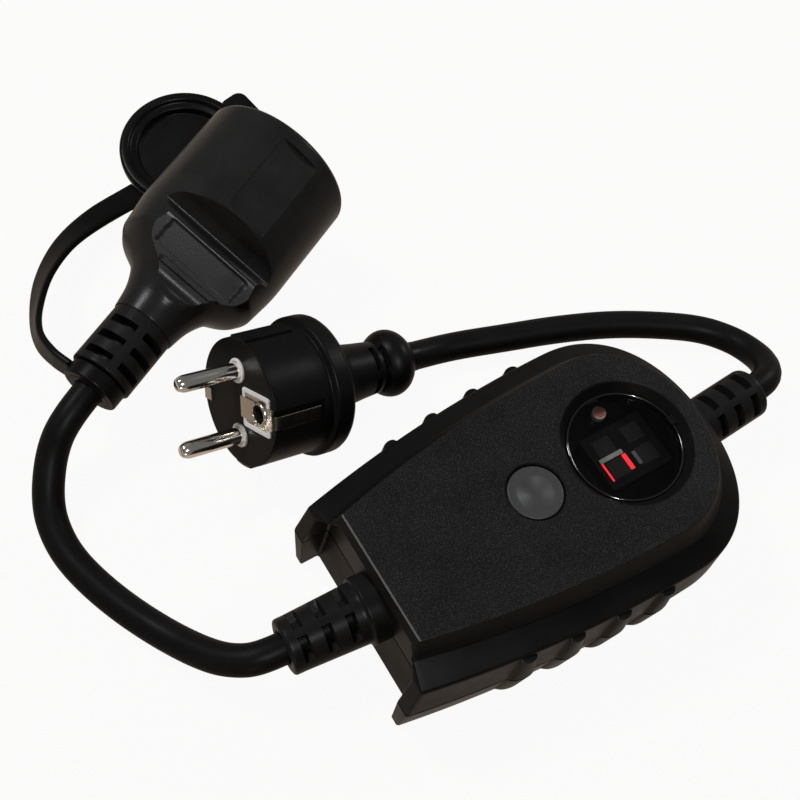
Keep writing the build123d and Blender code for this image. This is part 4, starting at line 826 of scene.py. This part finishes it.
def slotted(profile, rows, wide, floor_r, turn, at_r):
    """Radii and angles of a turned profile with rows of four arc-shaped slots, two each side of the turn."""
    middles = (turn + SLOT_MIDDLES)[:, None]
    half_ramp = SLOT_RAMP / 2 / at_r
    edges = middles + np.array([-1, 1])[:, None, None] * (SLOT_ARC / 2 + np.array([-half_ramp, half_ramp]))
    angles = np.unique(np.concatenate([round_angles(120), np.ravel(edges) % (2 * np.pi)]).round(6))
    away = (angles - middles + np.pi) % (2 * np.pi) - np.pi
    arc = plateau(away * at_r, 0, SLOT_ARC / 2 * at_r, SLOT_RAMP).max(axis=0)
    band = sum(plateau(profile[:, 1], row, wide / 2, SLOT_RAMP) for row in rows)
    depth = np.clip(profile[:, :1] - floor_r, 0, None)
    return profile[:, :1] - depth * band[:, None] * arc[None, :], angles


def slot_edges(rows, wide):
    ramp = SLOT_RAMP / 2
    steps = np.array([-wide / 2 - ramp, -wide / 2 + ramp, wide / 2 - ramp, wide / 2 + ramp])
    return np.add.outer(rows, steps).ravel()


def housing_relief(name, cad_node, seat, collar_r, deep, turn, lean):
    """Collar flat on the wall, slotted cone, and a round lip where the cable leaves."""
    rows, wide, reach = (8.8, 15.4, 22.0), 2.5, 26.5
    foot, tip, mouth_r, floor_r = collar_r - 0.9, 7.75, 4.9, 4.9
    cone_from, cone_to, mouth_z = deep + 0.6, reach - 1.9, reach - 1.0
    collar = eased(
        [(0, 0), (collar_r, 0), (collar_r, deep), (foot + 0.1, deep + 0.1), (foot, cone_from)],
        [0, 0.5, 0.3],
    )
    heights = samples(cone_from, cone_to, 0.9, slot_edges(rows, wide))
    cone = np.c_[np.interp(heights, [3.0, reach - 3.0], [foot, tip]), heights]
    lip = eased([(tip, cone_to), (tip, reach), (mouth_r, reach), (4.6, mouth_z), (0, mouth_z)], [1.4, 0.4, 0])
    profile = np.concatenate([collar[:-1], cone, lip[1:]])
    radius, angles = slotted(profile, rows, wide, floor_r, turn, foot)
    up = profile[:, 1:]
    height = up + tan(radians(lean)) * radius * np.sin(angles) * np.clip(1 - up / 5, 0, 1)
    piece(name, [turned(seat, radius, height, angles)], "relief", [cad_node])


def leaning(x, degrees, side):
    turn = radians(degrees)
    return Seat((x, 0, PARTING_Z), (side * cos(turn), sin(turn), 0), (0, 0, 1))


# Plug

PLUG = Seat((-55.3, 65.5, 27.0), (-0.9475, 0.0200, 0.3192), (0.301, 0.597, 0.743))
EARTH_HOLE = (0.2, -11.0)
EARTH_HOLE_R = 2.6
PLUG_R = 18.3
BALL_AT, BALL_HALF, BALL_R = -51.9, 7.2, 10.2
TAIL_AT, TAIL_R = -62.0, 4.5
PIN_X = 9.5
EARTH_Y = -9.1


def plug_moulding():
    """A turned body: guide ribs at two sides, clip grooves between them, flange, slotted neck and ball."""
    rows, wide, flange_r, neck_r = (-43.2, -46.6), 1.8, 20.3, 8.4
    rib_proud, groove_deep, hole_z = 0.8, 1.0, -14
    line = eased(
        [(0, 17.5), (0, PLUG_R), (-15.8, 18.4), (-18.7, 18.6), (-19.4, flange_r), (-25.0, flange_r),
         (-30.6, 9.6), (-40.0, neck_r)],
        [0.45, 2.0, 0.4, 0.7, 1.6, 3.0],
    )
    back = np.linspace(-40.6, BALL_AT - BALL_HALF + 0.02, 48)
    globe = BALL_R * np.sqrt(np.clip(1 - ((back - BALL_AT) / BALL_HALF) ** 2, 0, 1))
    neck = np.interp(-back, [40.0, 46.0, 50.0], [neck_r, 7.8, 0.0])
    ball = np.c_[back, np.maximum(globe, neck)]
    end = [(BALL_AT - BALL_HALF - 0.1, TAIL_R), (TAIL_AT, TAIL_R)]
    line = np.concatenate([line, ball[ball[:, 1] > TAIL_R + 0.2], end])
    line[:, 0] *= -1
    marks = np.concatenate([-slot_edges(rows, wide), [0.6, 4.0, 8.0, 12.0, 15.2, 15.6, 15.9, 16.0, 38.0]])
    line = with_rows(line, marks)
    profile = np.c_[line[:, 1], -line[:, 0]]
    radius, angles = slotted(profile, rows, wide, 6.3, radians(-85), 8.5)
    rib_half, clip_half = 3.5 / PLUG_R, 2.8 / PLUG_R
    halves = np.array([rib_half, clip_half, rib_half, clip_half])[:, None]
    extra = np.arange(4)[:, None] * np.pi / 2 + halves * np.array([-1.03, -0.97, 0.97, 1.03])
    more = np.unique(np.concatenate([angles, np.ravel(extra) % (2 * np.pi)]).round(6))
    radius = np.stack([np.interp(more, angles, row, period=2 * np.pi) for row in radius])
    angles = more
    along = profile[:, 1:]
    rib = plateau((angles + np.pi / 2) % np.pi, np.pi / 2, rib_half, 0.06 * rib_half)
    groove = plateau(angles % np.pi, np.pi / 2, clip_half, 0.06 * clip_half)
    radius += rib_proud * rib * np.interp(along, [-16.0, -15.6, -0.6, -0.2], [0, 1, 1, 0])
    radius -= groove_deep * groove * np.interp(along, [-15.9, -15.6], [0, 1])
    loop = np.c_[radius[0] * np.cos(angles), radius[0] * np.sin(angles)]
    face = plate(PLUG, 0.0, loop, [disc(EARTH_HOLE_R, EARTH_HOLE)(0)])
    hole = np.array([(EARTH_HOLE_R, 0), (EARTH_HOLE_R, hole_z), (0, hole_z)])
    hole = revolved(PLUG.moved(*EARTH_HOLE), hole, SMALL_ROUND)
    tail = turned(PLUG, [TAIL_R, 0], [TAIL_AT, TAIL_AT], angles)
    patches = [turned(PLUG, radius, profile[:, 1], angles), face, hole, tail]
    piece("plug_moulding", patches, "plug", ["plug_body"])


def side_clip(side, inner_r, shift, half=1.9):
    """A bent strip over the face's edge and down the groove: point = line + thickness across it."""
    path = [(inner_r, 0.06), (17.8, 0.06), (18.0, -1.2), (17.8, -14.5), (17.4, -15.2)]
    line = eased(path, [0.9, 0.8, 0.3], 6)
    heading = np.gradient(line, axis=0)
    outward = units(np.c_[-heading[:, 1], heading[:, 0]])
    section = np.array([(-1, 0), (-1, 0.42), (-0.94, 0.5), (0.94, 0.5), (1, 0.42), (1, 0)])
    spots = line[:, None, :] + outward[:, None, :] * section[None, :, 1:]
    loops = PLUG.place(shift + half * section[None, :, 0], side * spots[..., 0], spots[..., 1])
    return [sheet(loops), lid(loops[0]), lid(loops[-1])]


def plug_metal():
    """Pins with eased tips, white collars, and the earth strip in its white frame."""
    pin = eased([(0, 0.2), (2.4, 0.2), (2.4, 17.2), (1.5, 18.9), (0, 19.0)], [0, 1.2, 0.6])
    collar = eased(
        [(3.5, 0), (3.5, 0.65), (2.8, 0.65), (2.6, 0.25), (2.45, 0.25), (2.45, 0), (3.5, 0)],
        [0.3, 0.2, 0, 0, 0],
    )
    pins = [PLUG.moved(x, 0) for x in (PIN_X, -PIN_X)]
    piece("pins", [revolved(seat, pin, 56) for seat in pins], "nickel", ["plug_pins"])
    piece("collars", [revolved(seat, collar, 56) for seat in pins], "white", ["pin_collars"])
    outside, opening = oblong(11.4, 13.1, 0.9, (0, EARTH_Y)), oblong(8.9, 10.8, 0.5, (0, EARTH_Y))
    border = slab(PLUG, 0.0, 0.45, 0.15, outside, [opening])
    piece("earth_frame", border, "white", ["earth_plate_frame"])
    hole = disc(EARTH_HOLE_R + 0.1, EARTH_HOLE)
    strip = slab(PLUG, 0.0, 0.12, 0.04, oblong(8.8, 10.7, 0.4, (0, EARTH_Y)), [hole])
    strip += slab(PLUG, 0.05, 0.55, 0.12, oblong(6.3, 15.3, 0.3, (-0.1, -9.25)), [hole])
    foot = (2.6, -1.2)
    eye = [foot, (2.6, 0.95), (2.85, 1.1), (3.3, 0.95), (3.5, 0.5), (2.7, 0.4), (2.7, -1.2), foot]
    strip.append(revolved(PLUG.moved(*EARTH_HOLE), eased(eye, [0.2, 0.2, 0.2, 0.1, 0, 0]), 48))
    piece("earth_strip", strip, "nickel", ["earth_plate"], STRIP_FINISH)
    near, far = side_clip(-1, inner_r=16.8, shift=-0.6), side_clip(1, inner_r=14.0, shift=-1.6)
    # The near clip takes the painted-shade copy of the strip metal, and the far clip the plain strip metal.
    piece("near_side_clip", near, "nickel", ["earth_clips"], SHADED_STRIP_FINISH)
    piece("far_side_clip", far, "nickel", (), STRIP_FINISH)


# Coupler

COUPLER_AXIS = unit((0.8897, 0.4515, 0.0682))
COUPLER = Seat((-6.1, 133.3, 26.4), COUPLER_AXIS, np.cross(unit((0.04, -0.47, 0.88)), COUPLER_AXIS))
HEAD_R = 24.2
CUT_SHARE = sin(radians(60))
PANEL_FROM, PANEL_TO = radians(78), radians(109.4)
COUPLER_END = 68.0


def coupler_moulding():
    """A turned head and throat, cut above and below by a scoop, a ridge and a shelf, with a bare flat panel.

    Each ring is two side arcs and two cut runs. A cut run goes straight across at the cut's height, or
    round the circle where the circle is lower: y = min(h, sqrt(r^2 - x^2)).
    """
    side = eased(
        [(0.0, 23.2), (0.0, HEAD_R - 0.6), (1.0, HEAD_R), (36.0, HEAD_R), (47.0, 22.8), (50.2, 20.6),
         (54.6, 13.8), (61.0, 10.8), (COUPLER_END, 9.75), (COUPLER_END, 9.3)],
        [0.2, 0.4, 3.0, 1.0, 1.2, 2.6, 3.0, 0.25],
    )[1:-1]
    cut = eased(
        [(0.0, 40.0), (31.0, 40.0), (33.2, 24.3), (36.2, 16.6), (39.2, 14.2), (42.2, 17.6), (56.6, 10.6),
         (62.0, 12.0), (COUPLER_END, 12.0)],
        [0, 0.8, 1.6, 1.2, 1.7, 1.5, 1.0],
    )
    shelf_mid, shelf_half, shelf_deep = 47.1, 3.5, 0.28
    bar_mid, bar_half, bar_proud = 53.0, 0.8, 0.45
    panel_marks = [4.4, 4.65, 32.1, 32.35]
    marks = [middle + way * (half + ramp)
             for middle, half in ((shelf_mid, shelf_half), (bar_mid, bar_half))
             for way in (-1, 1) for ramp in (-0.15, 0.15)]
    even = [np.arange(30.5, 57, 0.45), np.arange(1, COUPLER_END, 3)]
    d = np.unique(np.concatenate([side[:, 0], cut[:, 0], panel_marks, marks, *even]).round(4))
    d = d[d <= COUPLER_END]
    r = np.interp(d, *side.T)[:, None]
    h = np.interp(d, *cut.T)[:, None]
    alpha = np.arcsin(np.minimum(h / r, CUT_SHARE))
    arc = np.linspace(-1, 1, 40)[:-1]
    right = np.stack([r * np.cos(alpha * arc), r * np.sin(alpha * arc)], axis=-1)
    panel_edges = -np.cos([PANEL_FROM, PANEL_TO]) / sqrt(1 - CUT_SHARE ** 2)
    panel_ramps = panel_edges[:, None] + np.array([-0.012, 0.012])
    cross = samples(-1, 1, 0.035, panel_ramps)[:-1]
    x = -r * np.cos(alpha) * cross
    crown = np.sqrt(np.clip(r ** 2 - x ** 2, 0, None))
    y = np.minimum(h, crown)
    on_panel = np.interp(cross, np.ravel(panel_ramps), [0, 1, 1, 0])
    on_panel = on_panel * np.interp(d, panel_marks, [0, 1, 1, 0])[:, None]
    middle = (PANEL_FROM + PANEL_TO) / 2
    flat = (HEAD_R * cos((PANEL_TO - PANEL_FROM) / 2) - 0.15 - x * cos(middle)) / sin(middle)
    on_cut = np.clip((crown - h) / 0.4, 0, 1)
    shelf = plateau(x, 0, 13.4, 0.3) * plateau(d, shelf_mid, shelf_half, 0.3)[:, None]
    bar = plateau(x, -0.8, 10.0, 0.5) * plateau(d, bar_mid, bar_half, 0.3)[:, None]
    top = y + (np.minimum(flat, y) - y) * on_panel + on_cut * (bar_proud * bar - shelf_deep * shelf)
    ring = np.concatenate([right, np.stack([x, top], axis=-1), -right, np.stack([-x, -y], axis=-1)], axis=1)
    outer = COUPLER.place(ring[..., 0], ring[..., 1], -d[:, None])
    inside = eased(
        [(HEAD_R - 0.6, 0), (21.4, 0), (21.4, -2.6), (19.6, -2.6), (19.6, -17.5), (19.05, -17.5),
         (19.05, -29.1)],
        [0.3, 0, 0.3, 0, 0],
    )
    rim = np.linalg.norm(ring[0], axis=1)
    angles = np.arctan2(ring[0, :, 1], ring[0, :, 0])
    radius = np.concatenate([rim[None], inside[1:, :1] + 0 * rim])
    well = turned(COUPLER, radius, inside[:, 1], angles)
    bed = COUPLER.place(inside[-1, 0] * np.cos(angles), inside[-1, 0] * np.sin(angles), inside[-1, 1])
    patches = [sheet(outer), well, lid(bed), lid(outer[-1])]
    piece("coupler_moulding", patches, "coupler", ["coupler_body"])


def coupler_sleeve():
    """Three rows of slots round a straight sleeve, a step, and the nose that carries the strap's ring."""
    rows, wide, sleeve_r = (-72.8, -78.4, -84.0), 2.2, 9.4
    start, end, nose_r, nose_end = -COUPLER_END, -87.4, 6.6, -92.6
    heights = -samples(-start, -end - 0.9, 0.9, -slot_edges(rows, wide))
    sleeve = np.c_[0 * heights + sleeve_r, heights]
    tip = eased(
        [(sleeve_r, end + 0.9), (sleeve_r, end), (nose_r, end), (nose_r, nose_end), (4.7, nose_end),
         (4.6, nose_end + 0.4), (0, nose_end + 0.4)],
        [0.6, 0, 0.5, 0.2, 0],
    )
    profile = np.concatenate([[(0, start)], sleeve, tip[1:]])
    radius, angles = slotted(profile, rows, wide, 5.2, radians(90), sleeve_r)
    sleeve = turned(COUPLER, radius, profile[:, 1], angles)
    piece("coupler_sleeve", [sleeve], "relief", ["coupler_strain_relief"])


# Cap and strap

CAP = Seat((-21.3, 167.35, 7.35), (-0.08, -0.09, 0.99), (-0.93, -0.36, 0))
CAP_R = 21.2
TAB_TURN = radians(170)
TAB_FROM, TAB_REACH = 18.6, 28.5


def rubber_cap():
    """A shallow cup, open side up: outer wall, round rim, sunk ledge and floor, and a finger tab."""
    cup = eased(
        [(0, -4.8), (20.3, -4.8), (CAP_R, -3.7), (CAP_R, 0), (18.4, 0), (17.6, -1.2), (15.6, -1.6),
         (15.0, -3.6), (0, -3.6)],
        [1.0, 0.8, 1.3, 0.6, 0.5, 0.4, 0.5],
    )
    middle = (TAB_FROM + TAB_REACH) / 2
    out = CAP.place(cos(TAB_TURN), sin(TAB_TURN), 0.0) - CAP.origin
    seat = Seat(CAP.origin + middle * out, CAP.axis, out)
    tab = slab(seat, -2.4, -0.8, 0.5, oblong(TAB_REACH - TAB_FROM, 13.0, 3.2))
    piece("rubber_cap", [revolved(CAP, cup, FINE_ROUND)] + tab, "cap", ["sealing_cap"], body="cap", sharp=45)


STRAP_ROUTE = [
    (-92.2, 106.6, 19.2, 4), (-92.9, 115.5, 16.6, 12), (-89.6, 126.2, 13.2, 26),
    (-82.3, 138.3, 10.4, 44), (-71.7, 148.1, 8.2, 62), (-58.5, 154.6, 5.9, 78),
]


def through(points, count):
    """A smooth line through its points: each span is a cubic whose slopes follow the neighbours."""
    points = np.asarray(points, float)
    padded = np.concatenate([[2 * points[0] - points[1]], points, [2 * points[-1] - points[-2]]])
    t = np.linspace(0, len(points) - 1, count)
    k = np.minimum(t.astype(int), len(points) - 2)
    s = (t - k)[:, None]
    a, b, c, d = (padded[k + step] for step in range(4))
    square = (2 * a - 5 * b + 4 * c - d) * s ** 2
    cube = (3 * b - a - 3 * c + d) * s ** 3
    return 0.5 * (2 * b + (c - a) * s + square + cube)


def strap():
    """A ring on the coupler's nose, and a band that turns from on edge to flat at the cap."""
    ring = Seat(COUPLER.place(0.0, 0.0, -90.0), COUPLER.axis, (-0.4515, 0.8897, 0.0))
    stations = [(*ring.place(7.5, 0.0, 0.0), 0), *STRAP_ROUTE, (*CAP.place(21.5, 0.0, -2.4), 90)]
    line = through(stations, 110)
    centre, turn = line[:, :3], np.radians(line[:, 3:])
    along = units(np.gradient(centre, axis=0))
    upright = units(UPRIGHT.axis - along * along[:, 2:])
    wide_way = upright * np.cos(turn) + np.cross(along, upright) * np.sin(turn)
    thin_way = np.cross(along, wide_way)
    progress = np.linspace(0, 1, len(line))
    half_wide = 4.5
    half_thin = np.interp(progress, [0, 0.88, 1], [1.1, 1.1, 0.4])[:, None, None]
    sweep = round_angles(44)
    across = np.sign(np.cos(sweep)) * np.abs(np.cos(sweep)) ** 0.35
    thick = np.sign(np.sin(sweep)) * np.abs(np.sin(sweep)) ** 0.55
    band = centre[:, None] + wide_way[:, None] * half_wide * across[:, None]
    band = band + thin_way[:, None] * half_thin * thick[:, None]
    hoop = eased([(6.65, -92.5), (8.6, -92.5), (8.6, -87.7), (6.65, -87.7), (6.65, -92.5)], [0.7, 0.7, 0])
    patches = [sheet(band), lid(band[0]), lid(band[-1]), revolved(COUPLER, hoop, 72)]
    piece("strap", patches, "cap", ["cap_strap"], body="strap", sharp=50)


# Leads

CABLE_D = 8.8
PLUG_LEAD = [
    (83.45, 1.62, 17.0), (88.84, 1.95, 17.0), (94.2, 4.0, 15.2), (98.5, 8.9, 11.6), (100.0, 15.4, 7.9),
    (98.8, 22.3, 5.5), (93.5, 29.8, 4.6), (84.0, 36.6, 4.5), (68.0, 45.6, 4.5), (50.0, 52.6, 4.5),
    (33.0, 57.8, 4.5), (20.5, 61.8, 4.5), (11.21, 64.1, 4.59), (3.44, 64.26, 7.21),
]
COUPLER_LEAD = [
    (-76.44, 1.85, 17.0), (-82.02, 2.24, 17.0), (-87.4, 4.6, 15.4), (-93.0, 10.4, 11.8), (-99.8, 22.9, 5.8),
    (-106.8, 37.2, 4.6), (-111.6, 51.0, 4.6), (-113.0, 61.5, 4.9), (-111.4, 71.8, 7.0), (-104.6, 82.6, 12.5),
    (-97.38, 86.98, 19.4), (-88.48, 91.49, 20.08),
]


def lead(name, points, cad_node):
    """A round cable along a smooth line through its route's control points."""
    curve = bpy.data.curves.new(name, "CURVE")
    curve.dimensions = "3D"
    curve.bevel_depth = CABLE_D / 2 * MM
    curve.bevel_resolution = 8
    curve.use_fill_caps = True
    line = curve.splines.new("NURBS")
    line.points.add(len(points) - 1)
    for point, place in zip(line.points, points):
        point.co = (*(Vector(place) * MM), 1)
    line.order_u = 3
    line.use_endpoint_u = True
    line.resolution_u = 12
    curve.materials.append(FINISH["cable"])
    made = placed(name, curve)
    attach(made, "housing")
    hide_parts(cad_node)


camera()
studio()
floor()
dress_nodes()
housing_cover()
housing_tray()
parting_seal()
button_cap()
window_pane()
display()
light_sensor()
housing_relief("mouth_relief", "mouth_strain_relief", leaning(MOUTH_X, 4.0, -1),
               collar_r=9.6, deep=4.4, turn=0.0, lean=4.0)
housing_relief("end_relief", "end_strain_relief", leaning(END_X - 1.0, 3.5, 1),
               collar_r=8.6, deep=2.2, turn=radians(12.5), lean=-3.5)
plug_moulding()
plug_metal()
coupler_moulding()
coupler_sleeve()
rubber_cap()
strap()
lead("plug_cable", PLUG_LEAD, "plug_lead")
lead("coupler_cable", COUPLER_LEAD, "coupler_lead")

bpy.context.scene.view_settings.view_transform = "Standard"
